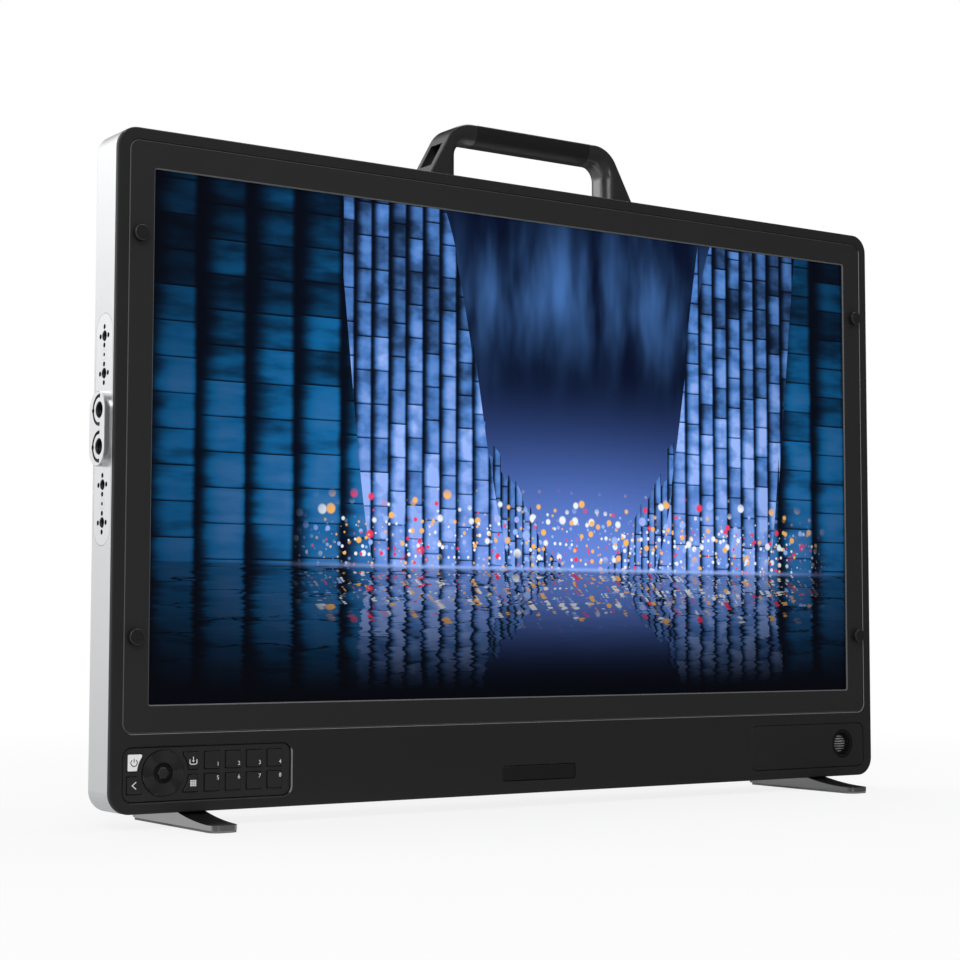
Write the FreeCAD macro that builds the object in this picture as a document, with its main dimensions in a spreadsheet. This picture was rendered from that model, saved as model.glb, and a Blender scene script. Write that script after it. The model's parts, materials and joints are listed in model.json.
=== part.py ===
import FreeCAD, Part
import math
import os
from types import SimpleNamespace

import Sketcher

# A 24 inch reference monitor that stands on two feet. Millimetres, +Z up, +X to the viewer's right, and the
# screen faces -Y. The origin is on the floor, under the middle of the feet.

DIMENSIONS = {
    # picture and front plates
    "screen_width": 531.4,
    "screen_height": 298.9,
    "surround_border": 15.8,
    "side_border": 7.0,
    "top_border": 6.7,
    "corner_radius": 12.0,
    "seam_radius": 6.0,
    "seam_gap": 0.25,
    "bezel_thickness": 3.2,
    "bezel_edge": 0.9,
    "surround_thickness": 1.6,
    "surround_drop": 0.2,
    "window_bevel": 0.7,
    "window_radius": 1.0,
    "plate_edge": 0.45,
    "seat_edge": 0.3,
    # picture panel
    "gasket_thickness": 0.5,
    "gasket_margin": 1.0,
    "panel_margin": 2.8,
    "panel_gap": 1.0,
    "panel_thickness": 1.8,
    "backlight_margin": 2.0,
    "backlight_gap": 2.0,
    "backlight_thickness": 10.5,
    "rail_width": 30.0,
    "rail_sheet": 1.5,
    "rail_spread": 180.0,
    "rail_inset": 20.0,
    # frame and rear shell
    "frame_wall": 3.0,
    "frame_edge": 1.2,
    "flange_thickness": 3.0,
    "chassis_thickness": 1.5,
    "cover_inset": 10.0,
    "lip_width": 14.0,
    "lip_thickness": 2.0,
    "lip_radius": 8.0,
    "cover_wall": 2.0,
    "cover_edge": 4.0,
    "vent_length": 24.0,
    "vent_width": 3.0,
    "vent_margin": 40.0,
    "vent_drop": 14.0,
    # fasteners
    "fit_gap": 0.1,
    "small_screw": 2.5,
    "small_head": 5.0,
    "small_head_height": 1.8,
    "cover_screw": 3.0,
    "cover_head": 5.6,
    "cover_head_height": 1.6,
    "cover_drive": 2.2,
    "cover_drive_depth": 1.0,
    "bezel_skin": 0.3,
    "screw_row_end": 31.5,
    "side_screw_rise": 90.0,
    "chin_screw_spread": 100.0,
    # hood studs
    "stud_inset": 6.5,
    "stud_drop": 53.25,
    "stud_head": 9.0,
    "stud_height": 4.2,
    "stud_thread": 4.0,
    "stud_collar": 6.6,
    "stud_collar_height": 1.0,
    "stud_edge": 0.8,
    # handle
    "handle_leg": 21.6,
    "handle_slant": 19.4,
    "handle_height": 34.9,
    "handle_depth": 21.5,
    "handle_thickness": 12.0,
    "handle_half_gap": 58.0,
    "handle_bend": 20.0,
    "handle_inner_bend": 8.5,
    "handle_round": 8.5,
    "handle_edge": 0.6,
    "handle_pocket_wall": 3.0,
    "handle_pocket_width": 12.5,
    "handle_pocket_low": 6.5,
    "handle_pocket_drop": 1.5,
    "grip_seam": 5.3,
    "spigot": 6.0,
    "spigot_length": 7.0,
    "strong_screw": 5.0,
    "strong_head": 8.5,
    "strong_head_height": 3.0,
    "handle_screw_bite": 9.0,
    "handle_screw_inset": 7.0,
    "handle_screw_pitch": 9.0,
    # feet
    "foot_height": 8.5,
    "foot_length": 101.5,
    "foot_reach": 39.7,
    "foot_width": 17.2,
    "foot_inset": 50.7,
    "foot_tip": 4.0,
    "foot_tip_round": 6.0,
    "foot_heel_round": 1.2,
    "foot_heel_cut": 2.2,
    "foot_heel_rise": 1.0,
    "foot_pad_thickness": 1.3,
    "foot_pad_inset": 0.25,
    "foot_screw": 4.0,
    "foot_screw_head": 6.0,
    "foot_screw_head_height": 2.4,
    "foot_screw_shift": 1.65,
    "foot_screw_pitch": 9.8,
    "foot_screw_bite": 5.0,
    # side mounts
    "side_width": 22.0,
    "side_end": 12.65,
    "side_land": 1.2,
    "side_back": 2.9,
    "side_depth": 8.0,
    "side_floor": 3.0,
    "side_gap": 0.2,
    "side_margin": 4.0,
    "side_rise": 3.0,
    "boss_step": 0.5,
    "boss_height": 42.0,
    "boss_proud": 3.8,
    "boss_edge": 0.4,
    "quarter_hole": 5.2,
    "quarter_chamfer": 0.6,
    "quarter_clear": 10.1,
    "quarter_pitch": 21.0,
    "pin_hole": 2.9,
    "pin_reach": 5.2,
    "pin_depth": 4.0,
    "eighths_hole": 8.0,
    "eighths_chamfer": 0.8,
    "eighths_pitch": 20.4,
    "eighths_shift": 2.8,
    "arc_radius": 7.9,
    "arc_width": 1.9,
    "arc_bulge": 3.2,
    "arc_end": 2.4,
    "side_screw": 3.0,
    "side_screw_head": 6.0,
    "side_screw_head_height": 2.2,
    "side_screw_socket": 2.2,
    # chin inserts
    "insert_radius": 5.5,
    "insert_margin": 7.8,
    "insert_rise": 6.2,
    "insert_top": 7.2,
    "insert_end": 2.65,
    "insert_lip": 2.0,
    "insert_lip_thickness": 1.2,
    "insert_gap": 0.8,
    "recess_depth": 1.2,
    "recess_bevel": 0.7,
    # keys
    "key_width": 9.2,
    "side_key_width": 8.8,
    "key_height": 9.4,
    "key_radius": 0.8,
    "key_edge": 0.45,
    "key_drop": 0.2,
    "key_gap": 0.3,
    "key_lip": 0.9,
    "key_lip_thickness": 0.8,
    "key_play": 0.1,
    "key_travel": 0.8,
    "key_column_gap": 4.0,
    "key_row_gap": 3.0,
    "key_lift": 0.6,
    "left_key_end": 2.7,
    "left_key_reach": 4.7,
    "right_key_reach": 4.2,
    "first_key_gap": 4.4,
    "key_end": 6.1,
    "key_arc_gap": 1.8,
    "switch_size": 6.0,
    "switch_height": 1.8,
    "key_board_thickness": 1.2,
    "key_board_edge": 2.0,
    "key_board_corner": 1.5,
    "key_post": 4.2,
    "key_post_side": 2.6,
    "key_post_end": 0.2,
    "key_screw_bite": 2.6,
    # jog ring and select button
    "jog_diameter": 25.0,
    "jog_proud": 0.2,
    "jog_crown": 0.5,
    "jog_opening": 11.6,
    "jog_lip": 1.5,
    "jog_lip_thickness": 1.0,
    "jog_front": 2.0,
    "scallop_radius": 24.8,
    "scallop_depth": 0.8,
    "sleeve_front": 0.6,
    "sleeve_wall": 2.3,
    "sleeve_lip": 1.2,
    "nub_clear": 0.54,
    "running_gap": 0.08,
    "encoder_base": 18.0,
    "encoder_base_gap": 0.5,
    "nub_flats": 6.0,
    "nub_proud": 0.1,
    "nub_edge": 0.4,
    "nub_travel": 0.6,
    "nub_collar_height": 3.4,
    # speaker and tally window
    "grille_diameter": 19.0,
    "grille_thickness": 1.2,
    "grille_drop": 0.3,
    "grille_slot": 0.9,
    "grille_slot_end": 0.78,
    "grille_rim": 1.0,
    "grille_margin": 28.2,
    "grille_lift": 0.9,
    "driver_diameter": 25.0,
    "driver_rim": 2.0,
    "driver_depth": 11.0,
    "magnet_diameter": 17.0,
    "dome_diameter": 14.0,
    "dome_height": 2.6,
    "tally_width": 56.0,
    "tally_height": 9.7,
    "tally_radius": 1.5,
    "tally_rise": 12.6,
    # boards and connectors
    "board_standoff": 5.0,
    "board_thickness": 1.6,
    "board_margin": 10.0,
    "board_post": 6.0,
    "board_post_inset": 5.0,
    "board_side": 4.0,
    "chip_width": 46.0,
    "chip_height": 22.0,
    "chip_thickness": 1.8,
    "sink_width": 110.0,
    "sink_gap": 4.0,
    "sink_base": 2.4,
    "sink_height": 7.0,
    "sink_fin": 1.2,
    "power_width": 110.0,
    "power_height": 70.0,
    "power_inset": 50.0,
    "power_gap": 16.45,
    "power_can": 12.0,
    "power_can_height": 8.5,
    "power_block": 24.0,
    "io_rise": 36.0,
    "io_opening": 34.0,
    "io_corner": 3.0,
    "io_border": 6.0,
    "io_end": 16.0,
    "io_sheet": 1.5,
    "socket_pitch": 22.0,
    "inlet_pitch": 30.0,
    "jack_barrel": 9.6,
    "jack_base": 13.0,
    "jack_reach": 10.8,
    "jack_wall": 0.8,
    "jack_bore_depth": 7.0,
    "jack_core": 3.4,
    "jack_lug_reach": 0.9,
    "jack_lug": 2.0,
    "jack_lug_setback": 2.4,
    "hdmi_width": 15.6,
    "hdmi_height": 6.2,
    "hdmi_pitch": 15.0,
    "socket_wall": 0.7,
    "socket_depth": 8.5,
    "socket_proud": 0.6,
    "tongue_thickness": 1.4,
    "tongue_clear": 1.4,
    "lan_width": 16.0,
    "lan_height": 13.4,
    "lan_wall": 2.0,
    "usb_width": 14.2,
    "usb_height": 7.2,
    "inlet_diameter": 24.0,
    "inlet_wall": 2.5,
    "inlet_bore_depth": 10.0,
    "inlet_pin": 2.4,
    "inlet_pin_spread": 3.9,
    "phone_nut": 9.0,
    "phone_bore": 3.6,
    "phone_floor": 0.6,
    # wall mount
    "vesa_pitch": 100.0,
    "vesa_post": 12.0,
    "vesa_thread": 3.3,
    "vesa_thread_depth": 14.0,
    "vesa_proud": 0.3,
    # fans
    "fan_size": 60.0,
    "fan_depth": 15.0,
    "fan_wall": 1.8,
    "fan_clear": 2.2,
    "fan_edge": 84.0,
    "fan_corner": 4.0,
    "fan_hub": 24.0,
    "fan_web": 2.4,
    "fan_spoke": 3.4,
    "fan_boss": 8.0,
    "fan_boss_height": 3.2,
    "fan_shaft": 3.0,
    "fan_screw_edge": 5.0,
    "rotor_hub": 25.0,
    "rotor_gap": 0.6,
    "rotor_clearance": 1.0,
    "blade_gap": 1.6,
    "blade_rise": 6.0,
    "blade_sweep": 5.2,
    "blade_sheet": 1.3,
    "fan_vent_side": 5.2,
    "fan_vent_end": 5.8,
}

# Counts and turns that don't change with a size
LIP_SCREW_STEPS = (-2, -1, 0, 1, 2)
VENT_COUNT = 30
FAN_VENT_COUNT = 9
BLADE_COUNT = 7
SCALLOP_COUNT = 6
SCALLOP_TURN = 50
SDI_COUNT = 8
SINK_FIN_COUNT = 11
GRILLE_SLOT_STEPS = (-4, -3, -2, -1, 0, 1, 2, 3, 4)
KEYS_PER_ROW = 4
SOCKETS_BESIDE_JACKS = 4


class Size:
    """A length, with the formula of sheet cells that gives it."""

    def __init__(self, number, formula):
        self.number = number
        self.formula = formula

    def __add__(self, other):
        other = size(other)
        return Size(self.number + other.number, f"({self.formula} + {other.formula})")

    def __sub__(self, other):
        other = size(other)
        return Size(self.number - other.number, f"({self.formula} - {other.formula})")

    def __mul__(self, other):
        other = size(other)
        return Size(self.number * other.number, f"({self.formula} * {other.formula})")

    def __truediv__(self, other):
        other = size(other)
        return Size(self.number / other.number, f"({self.formula} / {other.formula})")

    def __radd__(self, other):
        return size(other) + self

    def __rsub__(self, other):
        return size(other) - self

    def __rmul__(self, other):
        return size(other) * self

    def __neg__(self):
        return size(0) - self


def size(value):
    return value if isinstance(value, Size) else Size(value, repr(float(value)))


def root(value):
    return Size(math.sqrt(value.number), f"sqrt({value.formula})")


doc = FreeCAD.newDocument("ReferenceMonitor")
sheet = doc.addObject("Spreadsheet::Sheet", "Dims")
for row, (alias, number) in enumerate(DIMENSIONS.items(), start=1):
    sheet.set(f"A{row}", alias)
    sheet.set(f"B{row}", str(number))
    sheet.setAlias(f"B{row}", alias)
doc.recompute()
dim = SimpleNamespace(**{alias: Size(number, f"Dims.{alias}") for alias, number in DIMENSIONS.items()})

# Sizes of the chin: the keypad's row sets the width of its insert, and the jog ring sets the height
left_keys = dim.left_key_end + dim.side_key_width / 2
jog_from_edge = left_keys + dim.left_key_reach + dim.jog_diameter / 2
right_keys = jog_from_edge + dim.jog_diameter / 2 + dim.right_key_reach
first_key = right_keys + dim.side_key_width / 2 + dim.first_key_gap + dim.key_width / 2
key_pitch = dim.key_width + dim.key_column_gap
key_row_pitch = dim.key_height + dim.key_row_gap
key_arc_radius = dim.jog_diameter / 2 + dim.jog_lip + dim.key_arc_gap
insert_width = first_key + (KEYS_PER_ROW - 1) * key_pitch + dim.key_width / 2 + dim.key_end
insert_height = dim.jog_diameter + 2 * dim.insert_end
chin_height = dim.insert_rise + insert_height + dim.insert_top

# Sizes that follow from the driving ones
surround_width = dim.screen_width + 2 * dim.surround_border
surround_height = dim.screen_height + 2 * dim.surround_border
body_width = surround_width + 2 * dim.side_border
body_height = surround_height + dim.top_border + chin_height
panel_width = dim.screen_width + 2 * dim.panel_margin
panel_height = dim.screen_height + 2 * dim.panel_margin
backlight_width = panel_width + 2 * dim.backlight_margin
backlight_height = panel_height + 2 * dim.backlight_margin
lip_outer_width = body_width - 2 * dim.cover_inset
lip_outer_height = body_height - 2 * dim.cover_inset
pan_width = lip_outer_width - 2 * dim.lip_width
pan_height = lip_outer_height - 2 * dim.lip_width
bezel_screw_bite = dim.bezel_thickness - dim.surround_drop - dim.surround_thickness - dim.bezel_skin
frame_depth = dim.side_land + dim.side_width + dim.side_back
cover_depth = dim.fan_clear + dim.fan_depth + dim.cover_wall
foot_spread = body_width / 2 - dim.foot_inset
handle_half_foot = dim.handle_half_gap + dim.handle_leg
handle_half_top = handle_half_foot - dim.handle_slant
grip_half = dim.handle_half_gap - dim.handle_inner_bend - dim.grip_seam
boss_width = dim.side_width - 2 * dim.boss_step
quarter_near = dim.boss_height / 2 + dim.quarter_clear
quarter_far = quarter_near + dim.quarter_pitch
side_screw_offset = quarter_near + dim.quarter_pitch / 2
side_height = 2 * (quarter_far + dim.side_end)
sleeve_mouth = 2 * (dim.nub_flats / math.sqrt(3) + dim.nub_clear)
sleeve_diameter = sleeve_mouth + 2 * (dim.sleeve_lip + dim.sleeve_wall)
jack_bore = dim.jack_barrel - 2 * dim.jack_wall
jack_lug_span = dim.jack_barrel + 2 * dim.jack_lug_reach
inlet_bore = dim.inlet_diameter - 2 * dim.inlet_wall
fan_bore = dim.fan_size - 2 * dim.fan_wall
fan_screw_pitch = dim.fan_size - 2 * dim.fan_screw_edge
fan_vent_width = fan_bore - 2 * dim.fan_vent_side
fan_vent_pitch = (fan_bore - 2 * dim.fan_vent_end) / (FAN_VENT_COUNT - 1)
blade_radius = fan_bore / 2 - dim.blade_gap
insert_hole_width = insert_width + 2 * (dim.insert_lip + dim.insert_gap)
insert_hole_height = insert_height + 2 * (dim.insert_lip + dim.insert_gap)
tally_hole_width = dim.tally_width + 2 * (dim.insert_lip + dim.insert_gap)
tally_hole_height = dim.tally_height + 2 * (dim.insert_lip + dim.insert_gap)

# Depths, from the front plane to the back
front = dim.foot_reach - dim.foot_length / 2
surround_back = front + dim.surround_drop + dim.surround_thickness
bezel_back = front + dim.bezel_thickness
panel_front = surround_back + dim.gasket_thickness
panel_back = panel_front + dim.panel_thickness
backlight_back = panel_back + dim.backlight_thickness
frame_back = bezel_back + frame_depth
chassis_back = frame_back + dim.chassis_thickness
board_front = chassis_back + dim.board_standoff
board_back = board_front + dim.board_thickness
cover_back = chassis_back + cover_depth
cover_inside = cover_back - dim.cover_wall
io_front = cover_inside - dim.io_sheet
mount_depth = bezel_back + dim.side_land + dim.side_width / 2
foot_screw_depth = bezel_back + frame_depth / 2 + dim.foot_screw_shift
insert_back = bezel_back + dim.insert_lip_thickness
key_back = insert_back + dim.key_play + dim.key_lip_thickness
switch_front = key_back + dim.key_travel + dim.key_play
key_board_front = switch_front + dim.switch_height

# Heights
body_top = dim.foot_height + body_height
body_middle = dim.foot_height + body_height / 2
screen_middle = dim.foot_height + chin_height + surround_height / 2
screen_rise = screen_middle - body_middle
side_middle = screen_middle + dim.side_rise
insert_middle = dim.foot_height + dim.insert_rise + insert_height / 2
insert_drop = insert_middle - body_middle
tally_middle = dim.foot_height + dim.tally_rise
tally_drop = tally_middle - body_middle
pan_bottom = body_middle - pan_height / 2
io_middle = pan_bottom + dim.cover_wall + dim.io_rise
io_height = dim.io_opening + 2 * dim.io_border
board_low = pan_bottom + dim.cover_wall + dim.board_margin / 2
board_high = body_middle - dim.vesa_pitch / 2 - dim.vesa_post / 2 - dim.board_margin
board_height = board_high - board_low
board_middle = (board_high + board_low) / 2
power_middle = body_middle + dim.fan_size / 2 + dim.power_gap + dim.power_height / 2

# Places across the front and the back
insert_place = body_width / 2 - dim.insert_margin - insert_width / 2
speaker_place = body_width / 2 - dim.grille_margin
speaker_middle = insert_middle + dim.grille_lift
jog_place = jog_from_edge - insert_width / 2 - insert_place
jog_middle = insert_middle + dim.key_lift
sdi_span = (SDI_COUNT - 1) * dim.socket_pitch
io_width = sdi_span + dim.inlet_pitch + SOCKETS_BESIDE_JACKS * dim.socket_pitch + 2 * dim.io_end
sdi_middle = (SOCKETS_BESIDE_JACKS * dim.socket_pitch - dim.inlet_pitch) / 2
inlet_place = sdi_middle + sdi_span / 2 + dim.inlet_pitch
hdmi_place = sdi_middle - sdi_span / 2 - dim.socket_pitch
lan_place = hdmi_place - dim.socket_pitch
usb_place = lan_place - dim.socket_pitch
phone_place = usb_place - dim.socket_pitch
board_width = io_width + 2 * (dim.io_border + dim.board_side)
fan_place = pan_width / 2 - dim.fan_edge - dim.fan_size / 2
power_place = pan_width / 2 - dim.power_inset - dim.power_width / 2

PLANES = {"front": "XZ_Plane", "side": "YZ_Plane", "plan": "XY_Plane"}
AXES = {"X": "X_Axis", "Y": "Y_Axis", "Z": "Z_Axis"}
NEAR = 0.001


def bind(target, name, value):
    """Tie a property to its formula in the sheet."""
    target.setExpression(name, size(value).formula)


def place(target, x, y, z):
    bind(target, "Placement.Base.x", x)
    bind(target, "Placement.Base.y", y)
    bind(target, "Placement.Base.z", z)


def body(label, x=0, y=0, z=0):
    piece = doc.addObject("PartDesign::Body", label)
    piece.Label = label
    piece.AllowCompound = True
    place(piece, x, y, z)
    return piece


def origin_feature(piece, role):
    return next(feature for feature in piece.Origin.OriginFeatures if feature.Role == role)


def vector(u, v):
    return FreeCAD.Vector(size(u).number, size(v).number, 0)


def constrain(drawing, rules):
    """Add the constraints; a last item that is a Size becomes a dimension tied to the sheet."""
    plain = [[item.number if isinstance(item, Size) else item for item in rule] for rule in rules]
    drawing.addConstraint([Sketcher.Constraint(*rule) for rule in plain])
    for index, rule in enumerate(rules):
        if isinstance(rule[-1], Size):
            drawing.setExpression(f"Constraints[{index}]", rule[-1].formula)


def pinned(geometry, end, u, v):
    """Rules that hold a point at its distances from the sketch origin."""
    return [
        ("DistanceX", -1, 1, geometry, end, size(u)),
        ("DistanceY", -1, 1, geometry, end, size(v)),
    ]


def polygon(points, arcs=None):
    """A closed outline; arcs names a side by its first point and gives its centre, fixed across only."""
    arcs = arcs or {}

    def draw(drawing, rules):
        ends = []
        for index, start in enumerate(points):
            stop = points[(index + 1) % len(points)]
            first, last = vector(*start), vector(*stop)
            if index not in arcs:
                side = drawing.addGeometry(Part.LineSegment(first, last))
                ends.append((side, 1, 2))
                continue
            centre = vector(*arcs[index])
            angles = [math.atan2(point.y - centre.y, point.x - centre.x) for point in (first, last)]
            forward = (angles[1] - angles[0]) % (2 * math.pi) < math.pi
            circle = Part.Circle(centre, FreeCAD.Vector(0, 0, 1), (first - centre).Length)
            arc = Part.ArcOfCircle(circle, *(angles if forward else angles[::-1]))
            side = drawing.addGeometry(arc)
            ends.append((side, 1, 2) if forward else (side, 2, 1))
            rules.append(("DistanceX", -1, 1, side, 3, size(arcs[index][0])))
        for index, (side, begin, end) in enumerate(ends):
            following, start, unused = ends[(index + 1) % len(ends)]
            rules.append(("Coincident", side, end, following, start))
            rules.extend(pinned(side, begin, *points[index]))
    return draw


def rectangle(width, height, radius=None, u=0, v=0):
    """A rectangle about (u, v), with rounded corners if it has a radius."""
    left, right = u - size(width) / 2, u + size(width) / 2
    low, high = v - size(height) / 2, v + size(height) / 2
    corners = [(left, low), (right, low), (right, high), (left, high)]
    if radius is None:
        return polygon(corners)

    def draw(drawing, rules):
        bend = size(radius).number
        turns = [(1, 0), (0, 1), (-1, 0), (0, -1)]
        lines = []
        rounds = []
        for index in range(4):
            along = FreeCAD.Vector(*turns[index], 0)
            start = vector(*corners[index]) + along * bend
            stop = vector(*corners[(index + 1) % 4]) - along * bend
            lines.append(drawing.addGeometry(Part.LineSegment(start, stop)))
            inward = FreeCAD.Vector(*turns[(index + 1) % 4], 0)
            circle = Part.Circle(stop + inward * bend, FreeCAD.Vector(0, 0, 1), bend)
            begin = (index - 1) * math.pi / 2
            rounds.append(drawing.addGeometry(Part.ArcOfCircle(circle, begin, begin + math.pi / 2)))
        for index in range(4):
            rules.append(("Tangent", lines[index], 2, rounds[index], 1))
            rules.append(("Tangent", rounds[index], 2, lines[(index + 1) % 4], 1))
            if index:
                rules.append(("Equal", rounds[0], rounds[index]))
        for line, kind in zip(lines, ("Horizontal", "Vertical", "Horizontal", "Vertical")):
            rules.append((kind, line))
        rules.append(("Radius", rounds[0], size(radius)))
        rules.append(("DistanceY", -1, 1, lines[0], 1, low))
        rules.append(("DistanceX", -1, 1, lines[1], 1, right))
        rules.append(("DistanceY", -1, 1, lines[2], 1, high))
        rules.append(("DistanceX", -1, 1, lines[3], 1, left))
    return draw


def stadium(width, height, u=0, v=0):
    """An upright slot with round ends, about (u, v)."""
    def draw(drawing, rules):
        half = size(width) / 2
        straight = size(height) / 2 - half
        right, left = u + half, u - half
        top, bottom = v + straight, v - straight
        normal = FreeCAD.Vector(0, 0, 1)
        up = drawing.addGeometry(Part.LineSegment(vector(right, bottom), vector(right, top)))
        cap = drawing.addGeometry(Part.ArcOfCircle(Part.Circle(vector(u, top), normal, half.number), 0, math.pi))
        down = drawing.addGeometry(Part.LineSegment(vector(left, top), vector(left, bottom)))
        base = Part.ArcOfCircle(Part.Circle(vector(u, bottom), normal, half.number), math.pi, 2 * math.pi)
        base = drawing.addGeometry(base)
        for one, other in ((up, cap), (cap, down), (down, base), (base, up)):
            rules.append(("Tangent", one, 2, other, 1))
        rules.append(("Radius", cap, half))
        rules.extend(pinned(cap, 3, u, top))
        rules.append(("DistanceY", -1, 1, base, 3, bottom))
    return draw


def circles(diameter, places=((0, 0),)):
    """Equal circles at the places given."""
    def draw(drawing, rules):
        for u, v in places:
            circle = Part.Circle(vector(u, v), FreeCAD.Vector(0, 0, 1), size(diameter).number / 2)
            index = drawing.addGeometry(circle)
            rules.append(("Diameter", index, size(diameter)))
            rules.extend(pinned(index, 3, u, v))
    return draw


def hexagon(flats, u=0, v=0):
    """A six-sided outline about (u, v), by the distance across its flats."""
    reach = flats / math.sqrt(3)
    turns = [math.radians(60 * step) for step in range(6)]
    return polygon([(u + reach * math.cos(turn), v + reach * math.sin(turn)) for turn in turns])


def pairs(u, v):
    return [(-u, v), (u, v)]


def corners(u, v):
    return pairs(u, -v) + pairs(u, v)


def sketch(piece, shapes, at, plane):
    """Draw shapes on a plane of the body, moved along the body's axis by at."""
    drawing = piece.newObject("Sketcher::SketchObject", f"{piece.Label}_sketch")
    drawing.AttachmentSupport = (origin_feature(piece, PLANES[plane]), [""])
    drawing.MapMode = "FlatFace"
    bind(drawing, "AttachmentOffset.Base.z", -size(at) if plane == "front" else at)
    rules = []
    for draw in shapes if isinstance(shapes, list) else [shapes]:
        draw(drawing, rules)
    constrain(drawing, rules)
    return drawing


def extrude(kind, piece, shapes, length, at, plane):
    drawing = sketch(piece, shapes, at, plane)
    feature = piece.newObject(f"PartDesign::{kind}", f"{piece.Label}_{kind.lower()}")
    feature.Profile = drawing
    bind(feature, "Length", length)
    return feature


def pad(piece, shapes, length, at=0, plane="front"):
    """Add material from the plane at towards the plus end of its axis."""
    feature = extrude("Pad", piece, shapes, length, at, plane)
    feature.Reversed = plane == "front"
    return feature


def pocket(piece, shapes, length, at=0, plane="front"):
    """Cut material from the plane at towards the plus end of its axis."""
    feature = extrude("Pocket", piece, shapes, length, at, plane)
    feature.Refine = False
    feature.Reversed = plane != "front"
    return feature


def turned(piece, points, arcs=None):
    """Turn a profile of (radius, depth) points about the body's Y axis."""
    feature = piece.newObject("PartDesign::Revolution", f"{piece.Label}_turned")
    feature.Profile = sketch(piece, polygon(points, arcs), 0, "plan")
    feature.ReferenceAxis = (origin_feature(piece, AXES["Y"]), [""])
    feature.Angle = 360
    return feature


def in_plane(axis, at):
    """Chooses the edges that lie in one plane of the body."""
    level = size(at).number

    def chosen(box):
        return abs(getattr(box, axis + "Min") - level) < NEAR and abs(getattr(box, axis + "Max") - level) < NEAR
    return chosen


def in_window(width, height, u=0, v=0):
    """Chooses the edges of a body's front face that lie inside a rectangle about (u, v)."""
    front_edge = in_plane("Y", 0)
    left, right = (u - size(width) / 2).number - NEAR, (u + size(width) / 2).number + NEAR
    low, high = (v - size(height) / 2).number - NEAR, (v + size(height) / 2).number + NEAR

    def chosen(box):
        across = left < box.XMin and box.XMax < right
        return front_edge(box) and across and low < box.ZMin and box.ZMax < high
    return chosen


def upright_at(along):
    """Chooses the upright edges at one end of a body."""
    at_end = in_plane("Y", along)
    return lambda box: at_end(box) and box.XMax - box.XMin < NEAR


def dress(kind, measure, piece, value, chosen):
    doc.recompute()
    base = piece.Tip
    names = [f"Edge{n}" for n, edge in enumerate(base.Shape.Edges, start=1) if chosen(edge.BoundBox)]
    feature = piece.newObject(f"PartDesign::{kind}", f"{piece.Label}_{kind.lower()}")
    feature.Base = (base, names)
    bind(feature, measure, value)
    return feature


def fillet(piece, radius, chosen):
    return dress("Fillet", "Radius", piece, radius, chosen)


def chamfer(piece, width, chosen):
    return dress("Chamfer", "Size", piece, width, chosen)


def repeat(piece, feature, axis, step, count):
    """Repeat a cut along an axis of the body."""
    pattern = piece.newObject("PartDesign::LinearPattern", f"{piece.Label}_row")
    pattern.Originals = [feature]
    pattern.Direction = (origin_feature(piece, AXES[axis]), [""])
    bind(pattern, "Length", step * (count - 1))
    pattern.Occurrences = count
    pattern.Refine = False
    piece.Tip = pattern


def around(piece, feature, count):
    """Repeat a feature round the body's Y axis."""
    pattern = piece.newObject("PartDesign::PolarPattern", f"{piece.Label}_ring")
    pattern.Originals = [feature]
    pattern.Axis = (origin_feature(piece, AXES["Y"]), [""])
    pattern.Angle = 360
    pattern.Occurrences = count
    piece.Tip = pattern


def mirrored(label, source):
    """The same piece for the other side of the monitor."""
    piece = doc.addObject("Part::Mirroring", label)
    piece.Label = label
    piece.Source = source
    piece.Normal = FreeCAD.Vector(1, 0, 0)
    return piece


def screws(label, spot, shank, head, head_height, places, start, seat, plane, head_first):
    """A set of equal screws: shanks from start to seat, heads beyond the seat or before the start."""
    piece = body(label, *spot)
    pad(piece, circles(shank, places), seat - start, start, plane)
    head_start = start - head_height if head_first else seat
    pad(piece, circles(head, places), head_height, head_start, plane)
    return piece


def driven(piece, places, top):
    """Cut a six-sided drive into the heads of the rear screws, down from their top."""
    drives = [hexagon(dim.cover_drive, *spot) for spot in places]
    pocket(piece, drives, dim.cover_drive_depth, top - dim.cover_drive_depth)
    return piece


# Places that several pieces share
stud_places = corners(surround_width / 2 - dim.stud_inset, surround_height / 2 - dim.stud_drop)
lip_line_x = (lip_outer_width - dim.lip_width) / 2
lip_line_z = (lip_outer_height - dim.lip_width) / 2
screw_row_pitch = (lip_line_x - dim.screw_row_end) / max(LIP_SCREW_STEPS)
frame_inner_half = body_width / 2 - dim.frame_wall
screen_hole_half = backlight_width / 2 + dim.backlight_gap
screen_hole_top = screen_rise + backlight_height / 2 + dim.backlight_gap
bezel_screw_top = (screen_hole_top + body_height / 2 - dim.frame_wall) / 2
bezel_screw_side = (screen_hole_half + frame_inner_half) / 2
bezel_screw_low = -body_height / 2 + dim.frame_wall + dim.small_head
bezel_screw_places = (
    [(step * screw_row_pitch, bezel_screw_top) for step in LIP_SCREW_STEPS]
    + pairs(bezel_screw_side, screen_rise + dim.side_screw_rise)
    + pairs(bezel_screw_side, screen_rise - dim.side_screw_rise)
    + pairs(dim.chin_screw_spread, bezel_screw_low)
)
cover_screw_places = (
    [(step * screw_row_pitch, lip_line_z) for step in LIP_SCREW_STEPS]
    + [(step * screw_row_pitch, -lip_line_z) for step in LIP_SCREW_STEPS]
    + corners(lip_line_x, dim.side_screw_rise)
)
handle_screw_across = dim.handle_half_gap + dim.handle_screw_inset
handle_screw_places = corners(handle_screw_across, dim.handle_screw_pitch / 2)
foot_screw_places = corners(foot_spread, dim.foot_screw_pitch / 2)
main_post_x = board_width / 2 - dim.board_post_inset
main_post_z = board_height / 2 - dim.board_post_inset
power_post_x = dim.power_width / 2 - dim.board_post_inset
power_post_z = dim.power_height / 2 - dim.board_post_inset


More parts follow.
